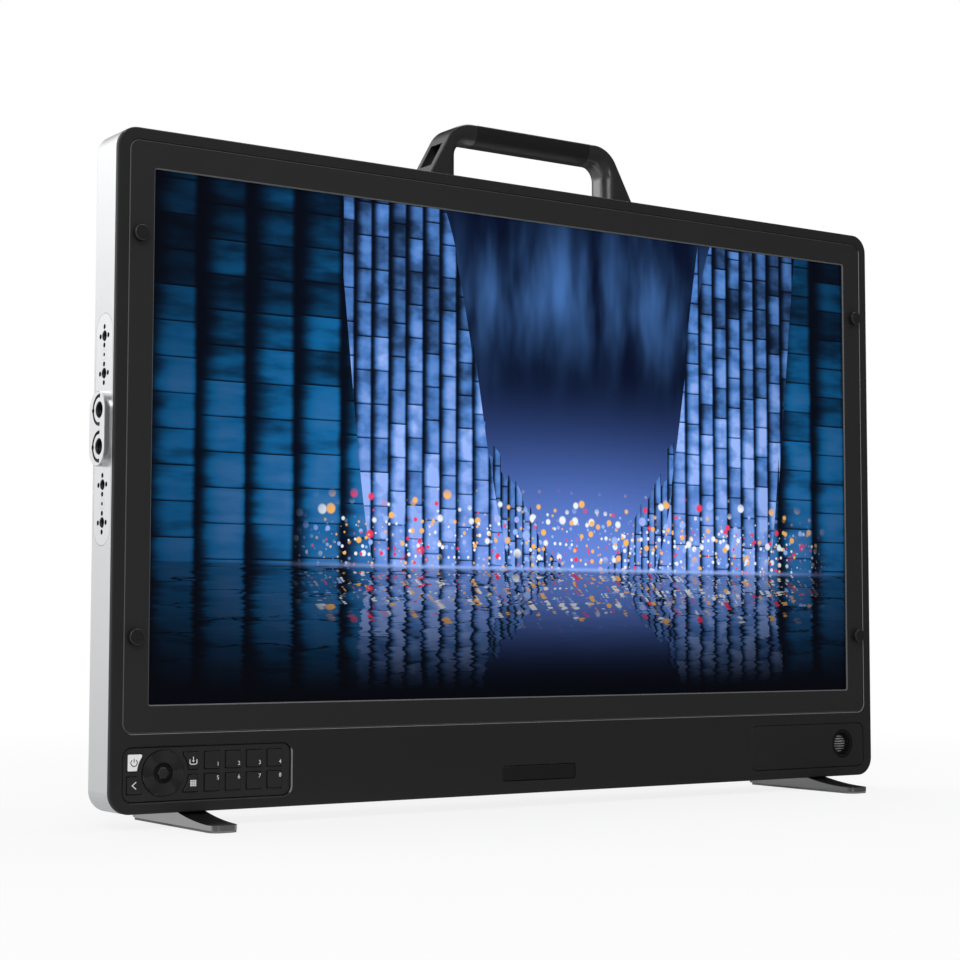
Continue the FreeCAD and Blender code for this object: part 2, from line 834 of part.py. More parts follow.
def about(places, u, v):
    return [(u + across, v + up) for across, up in places]


board_screw_places = (
    about(corners(main_post_x, main_post_z), 0, board_middle - body_middle)
    + about(corners(power_post_x, power_post_z), power_place, power_middle - body_middle)
)


def front_bezel():
    """Thin plate over the whole front, stepped for the surround and open for the chin inserts."""
    piece = body("front_bezel", 0, front, body_middle)
    pad(piece, rectangle(body_width, body_height, dim.corner_radius), dim.bezel_thickness)
    fillet(piece, dim.bezel_edge, in_plane("Y", 0))
    seat = rectangle(surround_width, surround_height, dim.seam_radius, 0, screen_rise)
    pocket(piece, seat, dim.surround_drop + dim.surround_thickness)
    chamfer(piece, dim.seat_edge, in_window(surround_width, surround_height, 0, screen_rise))
    opening = rectangle(panel_width + 2 * dim.panel_gap, panel_height + 2 * dim.panel_gap, None, 0, screen_rise)
    inserts = [
        rectangle(insert_width, insert_height, dim.insert_radius, side * insert_place, insert_drop)
        for side in (-1, 1)
    ]
    tally = rectangle(dim.tally_width, dim.tally_height, dim.tally_radius, 0, tally_drop)
    studs = circles(dim.stud_thread + 2 * dim.fit_gap, about(stud_places, 0, screen_rise))
    pocket(piece, [opening, *inserts, tally, studs], dim.bezel_thickness)
    chamfer(piece, dim.recess_bevel, in_window(insert_width, insert_height, -insert_place, insert_drop))
    holes = circles(dim.small_screw + 2 * dim.fit_gap, bezel_screw_places)
    pocket(piece, holes, bezel_screw_bite, dim.bezel_thickness - bezel_screw_bite)
    return piece


def screen_surround():
    """Inset plate round the picture, bevelled at the window."""
    piece = body("screen_surround", 0, front + dim.surround_drop, screen_middle)
    width = surround_width - 2 * dim.seam_gap
    height = surround_height - 2 * dim.seam_gap
    pad(piece, rectangle(width, height, dim.seam_radius - dim.seam_gap), dim.surround_thickness)
    chamfer(piece, dim.plate_edge, in_plane("Y", 0))
    pocket(piece, rectangle(dim.screen_width, dim.screen_height, dim.window_radius), dim.surround_thickness)
    chamfer(piece, dim.window_bevel, in_window(dim.screen_width, dim.screen_height))
    studs = circles(dim.stud_thread + 2 * dim.fit_gap, stud_places)
    pocket(piece, studs, dim.surround_thickness)
    return piece


def screen_gasket():
    piece = body("screen_gasket", 0, surround_back, screen_middle)
    pad(piece, rectangle(panel_width, panel_height), dim.gasket_thickness)
    clear = 2 * dim.gasket_margin
    pocket(piece, rectangle(dim.screen_width + clear, dim.screen_height + clear), dim.gasket_thickness)
    return piece


def box(label, width, depth, height, y, z):
    """A plain block about the middle plane, from y back and about z."""
    piece = doc.addObject("Part::Box", label)
    piece.Label = label
    bind(piece, "Length", width)
    bind(piece, "Width", depth)
    bind(piece, "Height", height)
    place(piece, -width / 2, y, z - height / 2)
    return piece


def lcd_panel():
    return box("lcd_panel", panel_width, dim.panel_thickness, panel_height, panel_front, screen_middle)


def backlight_unit():
    return box(
        "backlight_unit", backlight_width, dim.backlight_thickness, backlight_height, panel_back, screen_middle
    )


def panel_rails():
    """Two sheet channels that carry the backlight on the chassis plate."""
    piece = body("panel_rails", 0, backlight_back, screen_middle)
    depth = frame_back - backlight_back
    height = backlight_height - 2 * dim.rail_inset
    channels = []
    for side in (-1, 1):
        left = side * dim.rail_spread - dim.rail_width / 2
        right = side * dim.rail_spread + dim.rail_width / 2
        channels.append(polygon([
            (left, 0), (right, 0), (right, depth), (right - dim.rail_sheet, depth),
            (right - dim.rail_sheet, dim.rail_sheet), (left + dim.rail_sheet, dim.rail_sheet),
            (left + dim.rail_sheet, depth), (left, depth),
        ]))
    pad(piece, channels, height, -height / 2, "plan")
    return piece


def mid_frame():
    """Metal band round the sides with a front and a rear flange, and a thick pad behind each side mount."""
    piece = body("mid_frame", 0, bezel_back, body_middle)
    inner_depth = frame_depth - 2 * dim.flange_thickness
    inner_width = body_width - 2 * dim.frame_wall
    inner_height = body_height - 2 * dim.frame_wall
    pad(piece, rectangle(body_width, body_height, dim.corner_radius), frame_depth)
    fillet(piece, dim.frame_edge, in_plane("Y", frame_depth))
    cavity = rectangle(inner_width, inner_height, dim.corner_radius - dim.frame_wall)
    pocket(piece, cavity, inner_depth, dim.flange_thickness)
    pad_inner = body_width / 2 - dim.side_depth - dim.side_floor
    pad_outer = body_width / 2 - dim.frame_wall / 2
    side_pads = [
        rectangle(
            pad_outer - pad_inner, side_height + 2 * dim.side_margin, None,
            side * (pad_outer + pad_inner) / 2, side_middle - body_middle,
        )
        for side in (-1, 1)
    ]
    pad(piece, side_pads, inner_depth, dim.flange_thickness)
    screen_hole = rectangle(
        2 * screen_hole_half, backlight_height + 2 * dim.backlight_gap, None, 0, screen_rise
    )
    insert_holes = [
        rectangle(insert_hole_width, insert_hole_height, None, side * insert_place, insert_drop) for side in (-1, 1)
    ]
    tally_hole = rectangle(tally_hole_width, tally_hole_height, None, 0, tally_drop)
    screw_holes = circles(dim.small_screw + 2 * dim.fit_gap, bezel_screw_places)
    stud_holes = circles(dim.stud_thread + 2 * dim.fit_gap, about(stud_places, 0, screen_rise))
    front_holes = [screen_hole, *insert_holes, tally_hole, screw_holes, stud_holes]
    pocket(piece, front_holes, dim.flange_thickness)
    rear_hole = rectangle(pan_width, pan_height, dim.lip_radius)
    cover_holes = circles(dim.cover_screw + 2 * dim.fit_gap, cover_screw_places)
    pocket(piece, [rear_hole, cover_holes], dim.flange_thickness, frame_depth - dim.flange_thickness)
    line = mount_depth - bezel_back
    rise = side_middle - body_middle
    socket = stadium(dim.side_width + 2 * dim.side_gap, side_height + 2 * dim.side_gap, line, rise)
    screw_spots = [(line, rise - side_screw_offset), (line, rise + side_screw_offset)]
    screw_holes = circles(dim.side_screw + 2 * dim.fit_gap, screw_spots)
    floor = body_width / 2 - dim.side_depth
    pocket(piece, socket, dim.side_depth, floor, "side")
    pocket(piece, socket, dim.side_depth, -body_width / 2, "side")
    pocket(piece, screw_holes, dim.side_floor, floor - dim.side_floor, "side")
    pocket(piece, screw_holes, dim.side_floor, -floor, "side")
    handle_holes = circles(dim.strong_screw + 2 * dim.fit_gap, about(handle_screw_places, 0, line))
    pocket(piece, handle_holes, dim.frame_wall, body_height / 2 - dim.frame_wall, "plan")
    foot_line = foot_screw_depth - bezel_back
    foot_holes = circles(dim.foot_screw + 2 * dim.fit_gap, about(foot_screw_places, 0, foot_line))
    pocket(piece, foot_holes, dim.frame_wall, -body_height / 2, "plan")
    return piece


def chassis_plate():
    """Sheet between the frame and the rear cover, with pressed-in posts for the boards."""
    piece = body("chassis_plate", 0, frame_back, body_middle)
    pad(piece, rectangle(lip_outer_width, lip_outer_height, dim.lip_radius), dim.chassis_thickness)
    pocket(piece, circles(dim.cover_screw + 2 * dim.fit_gap, cover_screw_places), dim.chassis_thickness)
    pad(piece, circles(dim.board_post, board_screw_places), dim.board_standoff, dim.chassis_thickness)
    holes = circles(dim.small_screw + 2 * dim.fit_gap, board_screw_places)
    pocket(piece, holes, dim.board_standoff, dim.chassis_thickness)
    return piece


def rear_cover():
    """Shallow pan on a screwed lip, with vents, fan grilles and the opening for the connectors."""
    piece = body("rear_cover", 0, chassis_back, body_middle)
    pad(piece, rectangle(lip_outer_width, lip_outer_height, dim.lip_radius), dim.lip_thickness)
    pad(piece, rectangle(pan_width, pan_height, dim.lip_radius), cover_depth)
    fillet(piece, dim.cover_edge, in_plane("Y", cover_depth))
    inside = rectangle(
        pan_width - 2 * dim.cover_wall, pan_height - 2 * dim.cover_wall, dim.lip_radius - dim.cover_wall
    )
    pocket(piece, inside, cover_depth - dim.cover_wall)
    wall = cover_depth - dim.cover_wall
    opening = rectangle(io_width, dim.io_opening, dim.io_corner, 0, io_middle - body_middle)
    posts = circles(dim.vesa_post + 2 * dim.fit_gap, corners(dim.vesa_pitch / 2, dim.vesa_pitch / 2))
    fan_holes = []
    for side in (-1, 1):
        fan_spots = about(corners(fan_screw_pitch / 2, fan_screw_pitch / 2), side * fan_place, 0)
        fan_holes.append(circles(dim.cover_screw + 2 * dim.fit_gap, fan_spots))
    pocket(piece, [opening, posts, *fan_holes], dim.cover_wall, wall)
    pocket(piece, circles(dim.cover_screw + 2 * dim.fit_gap, cover_screw_places), dim.lip_thickness)
    vent_span = pan_width - 2 * dim.vent_margin
    vent_top = pan_height / 2 - dim.cover_edge - dim.vent_drop
    vent = stadium(dim.vent_width, dim.vent_length, -vent_span / 2, vent_top - dim.vent_length / 2)
    row = pocket(piece, vent, dim.cover_wall, wall)
    repeat(piece, row, "X", vent_span / (VENT_COUNT - 1), VENT_COUNT)
    lowest = -(FAN_VENT_COUNT - 1) / 2 * fan_vent_pitch
    grilles = [
        rectangle(fan_vent_width, dim.vent_width, None, side * fan_place, lowest) for side in (-1, 1)
    ]
    row = pocket(piece, grilles, dim.cover_wall, wall)
    repeat(piece, row, "Z", fan_vent_pitch, FAN_VENT_COUNT)
    return piece


def handle_bracket():
    """Leg that slants in to the top, bends over and meets the grip; the finger side is rounded."""
    piece = body("handle_bracket_right", 0, mount_depth, body_top)
    underside = dim.handle_height - dim.handle_thickness
    half_depth = dim.handle_depth / 2
    profile = polygon([
        (dim.handle_half_gap, 0), (handle_half_foot, 0), (handle_half_top, dim.handle_height),
        (grip_half, dim.handle_height), (grip_half, underside), (dim.handle_half_gap, underside),
    ])
    pad(piece, profile, dim.handle_depth, -half_depth)
    slope = (handle_half_foot - handle_half_top) / dim.handle_height
    pocket_high = underside - dim.handle_pocket_drop
    outer_low = handle_half_foot - slope * dim.handle_pocket_low
    outer_high = handle_half_foot - slope * pocket_high
    pocket_depth = outer_high - dim.handle_half_gap - dim.handle_pocket_wall

    def corner_at(across, up):
        x, z = size(across).number, size(up).number
        return lambda box: (
            abs(box.XMin - x) < NEAR and abs(box.XMax - x) < NEAR
            and abs(box.ZMin - z) < NEAR and abs(box.ZMax - z) < NEAR
        )

    fillet(piece, dim.handle_bend, corner_at(handle_half_top, dim.handle_height))
    fillet(piece, dim.handle_inner_bend, corner_at(dim.handle_half_gap, underside))
    faces = (in_plane("Y", -half_depth), in_plane("Y", half_depth))
    finger_side = dim.handle_half_gap.number + NEAR
    seam = in_plane("X", grip_half)
    base = in_plane("Z", 0)

    def is_inner(box):
        return box.XMax < finger_side and box.ZMax < underside.number + NEAR

    def is_finger_edge(box):
        return any(face(box) for face in faces) and is_inner(box) and not seam(box)

    def is_outer_edge(box):
        return any(face(box) for face in faces) and not (base(box) or seam(box) or is_inner(box))

    chamfer(piece, dim.handle_edge, is_outer_edge)
    fillet(piece, dim.handle_round, is_finger_edge)
    notch = polygon([
        (outer_low - pocket_depth, dim.handle_pocket_low),
        (outer_low + pocket_depth, dim.handle_pocket_low),
        (outer_high + pocket_depth, pocket_high),
        (outer_high - pocket_depth, pocket_high),
    ])
    pocket(piece, notch, dim.handle_pocket_width, -dim.handle_pocket_width / 2)
    socket = circles(dim.spigot + 2 * dim.fit_gap, [(0, dim.handle_height - dim.handle_thickness / 2)])
    pocket(piece, socket, dim.spigot_length + dim.fit_gap, grip_half, "side")
    spots = [(handle_screw_across, side * dim.handle_screw_pitch / 2) for side in (-1, 1)]
    holes = circles(dim.strong_screw + 2 * dim.fit_gap, spots)
    pocket(piece, holes, dim.handle_screw_bite, 0, "plan")
    return piece


def handle_grip():
    """Bar with the brackets' section, round below, held on a spigot at each end."""
    piece = body("handle_grip", 0, mount_depth, body_top + dim.handle_height - dim.handle_thickness / 2)
    half_depth = dim.handle_depth / 2
    half = dim.handle_thickness / 2
    edge = dim.handle_edge
    flat = half_depth - dim.handle_round
    turn = dim.handle_round - half
    section = polygon(
        [
            (-flat, -half), (flat, -half), (half_depth, turn), (half_depth, half - edge),
            (half_depth - edge, half), (edge - half_depth, half), (-half_depth, half - edge), (-half_depth, turn),
        ],
        {1: (flat, turn), 7: (-flat, turn)},
    )
    pad(piece, section, 2 * grip_half, -grip_half, "side")
    pad(piece, circles(dim.spigot), dim.spigot_length, grip_half, "side")
    pad(piece, circles(dim.spigot), dim.spigot_length, -grip_half - dim.spigot_length, "side")
    return piece


def handle_screws():
    return screws(
        "handle_screws", (0, mount_depth, body_top), dim.strong_screw, dim.strong_head, dim.strong_head_height,
        handle_screw_places, -dim.frame_wall, dim.handle_screw_bite - 2 * dim.fit_gap, "plan", True,
    )


def foot():
    """Wedge foot: flat under the frame, with a long concave slope to the front tip and a short one behind."""
    piece = body("foot_right", foot_spread, 0, 0)
    end = dim.foot_length / 2
    rise = dim.foot_height - dim.foot_tip
    sole = dim.foot_pad_thickness
    front_run = bezel_back + end
    back_run = end - frame_back
    front_bend = (front_run * front_run + rise * rise) / (2 * rise)
    back_bend = (back_run * back_run + rise * rise) / (2 * rise)
    profile = polygon(
        [
            (-end, sole), (end - dim.foot_heel_cut, sole), (end, sole + dim.foot_heel_rise), (end, dim.foot_tip),
            (frame_back, dim.foot_height), (bezel_back, dim.foot_height), (-end, dim.foot_tip),
        ],
        {3: (end, dim.foot_tip + back_bend), 5: (-end, dim.foot_tip + front_bend)},
    )
    pad(piece, profile, dim.foot_width, -dim.foot_width / 2, "side")
    fillet(piece, dim.foot_tip_round, upright_at(-end))
    fillet(piece, dim.foot_heel_round, upright_at(end))
    holes = circles(
        dim.foot_screw + 2 * dim.fit_gap,
        [(0, foot_screw_depth + side * dim.foot_screw_pitch / 2) for side in (-1, 1)],
    )
    pocket(piece, holes, dim.foot_screw_bite, dim.foot_height - dim.foot_screw_bite, "plan")
    return piece


def foot_pads():
    """Rubber soles with the outline of the feet, a little smaller."""
    piece = body("foot_pads")
    low = -dim.foot_length / 2 + dim.foot_pad_inset
    high = dim.foot_length / 2 - dim.foot_heel_cut - dim.foot_pad_inset
    half = dim.foot_width / 2 - dim.foot_pad_inset
    tip = dim.foot_tip_round - dim.foot_pad_inset
    heel = dim.foot_heel_round - dim.foot_pad_inset
    shapes = []
    for side in (-1, 1):
        left = side * foot_spread - half
        right = side * foot_spread + half
        shapes.append(polygon(
            [
                (left + tip, low), (right - tip, low), (right, low + tip), (right, high - heel),
                (right - heel, high), (left + heel, high), (left, high - heel), (left, low + tip),
            ],
            {
                1: (right - tip, low + tip), 3: (right - heel, high - heel),
                5: (left + heel, high - heel), 7: (left + tip, low + tip),
            },
        ))
    pad(piece, shapes, dim.foot_pad_thickness, 0, "plan")
    return piece


def foot_screws():
    return screws(
        "foot_screws", (0, foot_screw_depth, dim.foot_height), dim.foot_screw, dim.foot_screw_head,
        dim.foot_screw_head_height, foot_screw_places, 2 * dim.fit_gap - dim.foot_screw_bite, dim.frame_wall,
        "plan", False,
    )


def side_mount():
    """Plate let into the frame's side, with quarter inch holes and a boss with two three-eighths holes."""
    core = body("side_mount_core", body_width / 2, mount_depth, side_middle)
    pad(core, stadium(dim.side_width, side_height), dim.side_depth, -dim.side_depth, "side")
    pad(core, stadium(boss_width, dim.boss_height), dim.boss_proud, 0, "side")
    chamfer(core, dim.boss_edge, in_plane("X", dim.boss_proud))
    levels = [-quarter_far, -quarter_near, quarter_near, quarter_far]
    pocket(core, circles(dim.quarter_hole, [(0, level) for level in levels]), dim.side_depth, -dim.side_depth, "side")
    radius = dim.quarter_hole.number / 2 + NEAR
    face = in_plane("X", 0)
    chamfer(core, dim.quarter_chamfer, lambda box: face(box) and max(-box.YMin, box.YMax) < radius)
    steps = [(-1, 0), (1, 0), (0, -1), (0, 1)]
    pins = [(across * dim.pin_reach, level + up * dim.pin_reach) for level in levels for across, up in steps]
    pocket(core, circles(dim.pin_hole, pins), dim.pin_depth, -dim.pin_depth, "side")
    screw_spots = [(0, -side_screw_offset), (0, side_screw_offset)]
    pocket(
        core, circles(dim.side_screw_head + 2 * dim.fit_gap, screw_spots),
        dim.side_screw_head_height + dim.fit_gap, -dim.side_screw_head_height - dim.fit_gap, "side",
    )
    pocket(core, circles(dim.side_screw + 2 * dim.fit_gap, screw_spots), dim.side_depth, -dim.side_depth, "side")
    centres = [(-dim.eighths_shift, side * dim.eighths_pitch / 2) for side in (-1, 1)]
    through = dim.side_depth + dim.boss_proud
    pocket(core, circles(dim.eighths_hole, centres), through, -dim.side_depth, "side")
    rim = dim.eighths_hole.number
    top = in_plane("X", dim.boss_proud)
    chamfer(core, dim.eighths_chamfer, lambda box: top(box) and abs(box.YLength - rim) < NEAR)
    bulges = [(across + dim.arc_radius, up) for across, up in centres]
    pocket(core, circles(dim.arc_bulge, bulges), dim.arc_width, dim.boss_proud - dim.arc_width, "side")
    ends = [(across, up + side * dim.arc_radius) for across, up in centres for side in (-1, 1)]
    pocket(core, circles(dim.arc_end, ends), dim.arc_width, dim.boss_proud - dim.arc_width, "side")
    grooves = []
    for across, up in centres:
        groove = doc.addObject("Part::Torus", "arc_groove")
        bind(groove, "Radius1", dim.arc_radius)
        bind(groove, "Radius2", dim.arc_width / 2)
        groove.Angle3 = 180
        groove.Placement.Rotation = FreeCAD.Rotation(FreeCAD.Vector(0, 0, -1), FreeCAD.Vector(0, 1, 0),
                                                     FreeCAD.Vector(1, 0, 0), "ZXY")
        place(groove, body_width / 2 + dim.boss_proud, mount_depth + across, side_middle + up)
        grooves.append(groove)
    both = doc.addObject("Part::MultiFuse", "arc_grooves")
    both.Shapes = grooves
    piece = doc.addObject("Part::Cut", "side_mount_right")
    piece.Label = "side_mount_right"
    piece.Base = core
    piece.Tool = both
    return piece


def side_mount_screws():
    """Flush screws that hold the side mounts, each with a small socket in its head."""
    piece = body("side_mount_screws", 0, mount_depth, side_middle)
    spots = [(0, -side_screw_offset), (0, side_screw_offset)]
    face = body_width / 2
    tip = dim.side_depth + dim.side_floor - dim.fit_gap
    for outer, direction in ((face, -1), (-face, 1)):
        inner = outer + direction * tip
        under = outer + direction * dim.side_screw_head_height
        bottom = outer + direction * dim.side_screw_head_height / 2
        pad(piece, circles(dim.side_screw, spots), tip, inner if direction < 0 else outer, "side")
        head_start = under if direction < 0 else outer
        pad(piece, circles(dim.side_screw_head, spots), dim.side_screw_head_height, head_start, "side")
        socket_start = bottom if direction < 0 else outer
        socket = circles(dim.side_screw_socket, spots)
        pocket(piece, socket, dim.side_screw_head_height / 2, socket_start, "side")
    return piece


def hood_studs():
    """Four turned studs that stand on the surround and screw into the frame's front flange."""
    piece = body("hood_studs", 0, front + dim.surround_drop, screen_middle)
    shank_end = bezel_back + dim.flange_thickness - front - dim.surround_drop
    pad(piece, circles(dim.stud_thread, stud_places), shank_end)
    pad(piece, circles(dim.stud_collar, stud_places), dim.stud_collar_height, -dim.stud_collar_height)
    head_length = dim.stud_height - dim.stud_collar_height
    pad(piece, circles(dim.stud_head, stud_places), head_length, -dim.stud_height)
    fillet(piece, dim.stud_edge, in_plane("Y", -dim.stud_height))
    return piece


def bezel_screws():
    return screws(
        "bezel_screws", (0, bezel_back, body_middle), dim.small_screw, dim.small_head, dim.small_head_height,
        bezel_screw_places, dim.fit_gap - bezel_screw_bite, dim.flange_thickness, "front", False,
    )


def rear_cover_screws():
    piece = screws(
        "rear_cover_screws", (0, chassis_back, body_middle), dim.cover_screw, dim.cover_head,
        dim.cover_head_height, cover_screw_places, -dim.chassis_thickness - dim.flange_thickness,
        dim.lip_thickness, "front", False,
    )
    return driven(piece, cover_screw_places, dim.lip_thickness + dim.cover_head_height)


def board_screws():
    """Small screws that hold the main and power boards on their posts and the key board on its own."""
    piece = body("board_screws", 0, board_back, body_middle)
    shank = dim.board_standoff - 2 * dim.fit_gap + dim.board_thickness
    pad(piece, circles(dim.small_screw, board_screw_places), shank, -shank)
    pad(piece, circles(dim.small_head, board_screw_places), dim.small_head_height)
    places = about(key_post_places, -insert_place, insert_drop)
    board = key_board_front + dim.key_board_thickness - board_back
    shank = dim.key_board_thickness + dim.key_screw_bite - dim.fit_gap
    pad(piece, circles(dim.small_screw, places), shank, board - shank)
    pad(piece, circles(dim.small_head, places), dim.small_head_height, board)
    return piece


def main_board():
    """Board behind the connectors, with its processor under the heat sink."""
    piece = body("main_board", 0, board_front, board_middle)
    pad(piece, rectangle(board_width, board_height), dim.board_thickness)
    pad(piece, rectangle(dim.chip_width, dim.chip_height, None, 0, sink_middle - board_middle),
        dim.chip_thickness, dim.board_thickness)
    holes = circles(dim.small_screw + 2 * dim.fit_gap, corners(main_post_x, main_post_z))
    pocket(piece, holes, dim.board_thickness)
    return piece


sink_low = io_middle + io_height / 2 + dim.sink_gap
sink_high = board_high - dim.sink_gap
sink_middle = (sink_low + sink_high) / 2


def heat_sink():
    piece = body("heat_sink", 0, board_back + dim.chip_thickness, sink_middle)
    pad(piece, rectangle(dim.sink_width, sink_high - sink_low), dim.sink_base)
    gap_pitch = (dim.sink_width - dim.sink_fin) / (SINK_FIN_COUNT - 1)
    fins = [
        rectangle(dim.sink_fin, sink_high - sink_low, None, (step - (SINK_FIN_COUNT - 1) / 2) * gap_pitch, 0)
        for step in range(SINK_FIN_COUNT)
    ]
    pad(piece, fins, dim.sink_height - dim.sink_base, dim.sink_base)
    return piece


def power_board():
    """Power board with a choke block and a row of capacitors."""
    piece = body("power_board", power_place, board_front, power_middle)
    pad(piece, rectangle(dim.power_width, dim.power_height), dim.board_thickness)
    block = rectangle(dim.power_block, dim.power_block, None, -dim.power_width / 4, 0)
    cans = circles(dim.power_can, [(step * dim.power_width / 6, 0) for step in (0, 1, 2)])
    pad(piece, [block, cans], dim.power_can_height, dim.board_thickness)
    holes = circles(dim.small_screw + 2 * dim.fit_gap, corners(power_post_x, power_post_z))
    pocket(piece, holes, dim.board_thickness)
    return piece


sdi_places = [(sdi_middle + sdi_span / 2 - step * dim.socket_pitch, 0) for step in range(SDI_COUNT)]
hdmi_places = [(hdmi_place, side * dim.hdmi_pitch / 2) for side in (-1, 1)]


def io_plate():
    """Connector plate inside the cover, seen through its opening."""
    piece = body("io_plate", 0, io_front, io_middle)
    pad(piece, rectangle(io_width + 2 * dim.io_border, io_height), dim.io_sheet)
    gap = 2 * dim.fit_gap
    shapes = [circles(dim.jack_barrel + gap, sdi_places), circles(dim.inlet_diameter + gap, [(inlet_place, 0)]),
              circles(dim.phone_nut + gap, [(phone_place, 0)]),
              rectangle(dim.lan_width + gap, dim.lan_height + gap, None, lan_place, 0),
              rectangle(dim.usb_width + gap, dim.usb_height + gap, None, usb_place, 0)]
    shapes += [rectangle(dim.hdmi_width + gap, dim.hdmi_height + gap, None, *spot) for spot in hdmi_places]
    pocket(piece, shapes, dim.io_sheet)
    return piece


def sdi_jacks():
    """Bayonet jacks: a base on the board, a barrel with two lugs, and a core in the bore."""
    piece = body("sdi_jacks", 0, board_back, io_middle)
    base = io_front - board_back
    reach = cover_back + dim.jack_reach - board_back
    pad(piece, circles(dim.jack_base, sdi_places), base)
    pad(piece, circles(dim.jack_barrel, sdi_places), reach - base, base)
    lugs = [rectangle(jack_lug_span, dim.jack_lug, None, *spot) for spot in sdi_places]
    pad(piece, lugs, dim.jack_lug, reach - dim.jack_lug_setback - dim.jack_lug)
    pocket(piece, circles(jack_bore, sdi_places), dim.jack_bore_depth, reach - dim.jack_bore_depth)
    pad(piece, circles(dim.jack_core, sdi_places), dim.jack_bore_depth - dim.jack_lug, reach - dim.jack_bore_depth)
    return piece


def open_socket(piece, width, height, wall, u, v, depth):
    """A socket shell from the board to just past the plate, with its mouth cut in."""
    length = cover_inside + dim.socket_proud - board_back
    pad(piece, rectangle(width, height, None, u, v), length)
    mouth = rectangle(width - 2 * wall, height - 2 * wall, None, u, v)
    pocket(piece, mouth, depth, length - depth)
    return length - depth


def hdmi_sockets():
    piece = body("hdmi_sockets", 0, board_back, io_middle)
    mouth_width = dim.hdmi_width - 2 * dim.socket_wall
    for u, v in hdmi_places:
        floor = open_socket(piece, dim.hdmi_width, dim.hdmi_height, dim.socket_wall, u, v, dim.socket_depth)
        tongue = rectangle(mouth_width - 2 * dim.tongue_clear, dim.tongue_thickness, None, u, v)
        pad(piece, tongue, dim.socket_depth - dim.socket_wall, floor)
    return piece


def data_sockets():
    """Network socket and USB socket."""
    piece = body("data_sockets", 0, board_back, io_middle)
    open_socket(piece, dim.lan_width, dim.lan_height, dim.lan_wall, lan_place, 0, dim.socket_depth)
    floor = open_socket(piece, dim.usb_width, dim.usb_height, dim.socket_wall, usb_place, 0, dim.socket_depth)
    tongue_width = dim.usb_width - 2 * dim.socket_wall - 2 * dim.tongue_clear
    tongue = rectangle(tongue_width, dim.tongue_thickness, None, usb_place, dim.tongue_thickness / 2)
    pad(piece, tongue, dim.socket_depth - dim.socket_wall, floor)
    return piece


def dc_inlet():
    """Round four-pin supply inlet."""
    piece = body("dc_inlet", inlet_place, board_back, io_middle)
    length = cover_back - board_back
    pad(piece, circles(dim.inlet_diameter), length)
    pocket(piece, circles(inlet_bore), dim.inlet_bore_depth, length - dim.inlet_bore_depth)
    pins = circles(dim.inlet_pin, corners(dim.inlet_pin_spread, dim.inlet_pin_spread))
    pad(piece, pins, dim.inlet_bore_depth - dim.cover_wall, length - dim.inlet_bore_depth)
    return piece


def headphone_jack():
    piece = body("headphone_jack", phone_place, board_back, io_middle)
    length = cover_back - board_back
    pad(piece, circles(dim.phone_nut), length)
    pocket(piece, circles(dim.phone_bore), length - dim.phone_floor, dim.phone_floor)
    return piece


def vesa_posts():
    """Four posts from the chassis plate through the cover, threaded for a wall plate or an arm."""
    piece = body("vesa_posts", 0, chassis_back, body_middle)
    length = cover_depth + dim.vesa_proud
    spots = corners(dim.vesa_pitch / 2, dim.vesa_pitch / 2)
    pad(piece, circles(dim.vesa_post, spots), length)
    pocket(piece, circles(dim.vesa_thread, spots), dim.vesa_thread_depth, length - dim.vesa_thread_depth)
    return piece


fan_front = cover_inside - dim.fan_depth
rotor_front = dim.fan_web + dim.fan_boss_height + dim.rotor_gap


def fan_housing(label, side):
    """Square fan frame with a spoked web and a bearing boss."""
    piece = body(label, side * fan_place, fan_front, body_middle)
    pad(piece, rectangle(dim.fan_size, dim.fan_size, dim.fan_corner), dim.fan_depth)
    pocket(piece, circles(fan_bore), dim.fan_depth)
    length = (fan_bore + dim.fan_size) / 2
    pad(piece, rectangle(length, dim.fan_spoke), dim.fan_web)
    pad(piece, rectangle(dim.fan_spoke, length), dim.fan_web)
    pad(piece, circles(dim.fan_hub), dim.fan_web)
    pad(piece, circles(dim.fan_boss), dim.fan_boss_height, dim.fan_web)
    pocket(piece, circles(dim.fan_shaft + 2 * dim.running_gap), dim.fan_web + dim.fan_boss_height)
    spots = corners(fan_screw_pitch / 2, fan_screw_pitch / 2)
    pocket(piece, circles(dim.cover_screw + 2 * dim.fit_gap, spots), dim.fan_depth)
    return piece


def fan_housings():
    piece = doc.addObject("Part::Compound", "fan_housings")
    piece.Label = "fan_housings"
    piece.Links = [fan_housing("fan_housing_a", -1), fan_housing("fan_housing_b", 1)]
    return piece


def fan_rotor(label, side):
    """Hub on a shaft with a ring of slanted blades."""
    piece = body(label, side * fan_place, fan_front, body_middle)
    hub_length = dim.fan_depth - dim.rotor_clearance - rotor_front
    pad(piece, circles(dim.rotor_hub), hub_length, rotor_front)
    pad(piece, circles(dim.fan_shaft), rotor_front - dim.running_gap, dim.running_gap)
    low = rotor_front + dim.rotor_gap
    high = low + dim.blade_rise
    blade = polygon([
        (-dim.blade_sweep, low), (dim.blade_sheet - dim.blade_sweep, low),
        (dim.blade_sweep, high), (dim.blade_sweep - dim.blade_sheet, high),
    ])
    inner = dim.rotor_hub / 2 - 2 * dim.blade_sheet
    blade = pad(piece, blade, blade_radius - inner, inner, "plan")
    around(piece, blade, BLADE_COUNT)
    return piece


def fan_screws():
    """Screws through the rear cover into the fan housings."""
    places = []
    for side in (-1, 1):
        places += about(corners(fan_screw_pitch / 2, fan_screw_pitch / 2), side * fan_place, 0)
    piece = screws(
        "fan_screws", (0, cover_inside, body_middle), dim.cover_screw, dim.cover_head, dim.cover_head_height,
        places, -dim.fan_depth / 2, dim.cover_wall, "front", False,
    )
    return driven(piece, places, dim.cover_wall + dim.cover_head_height)


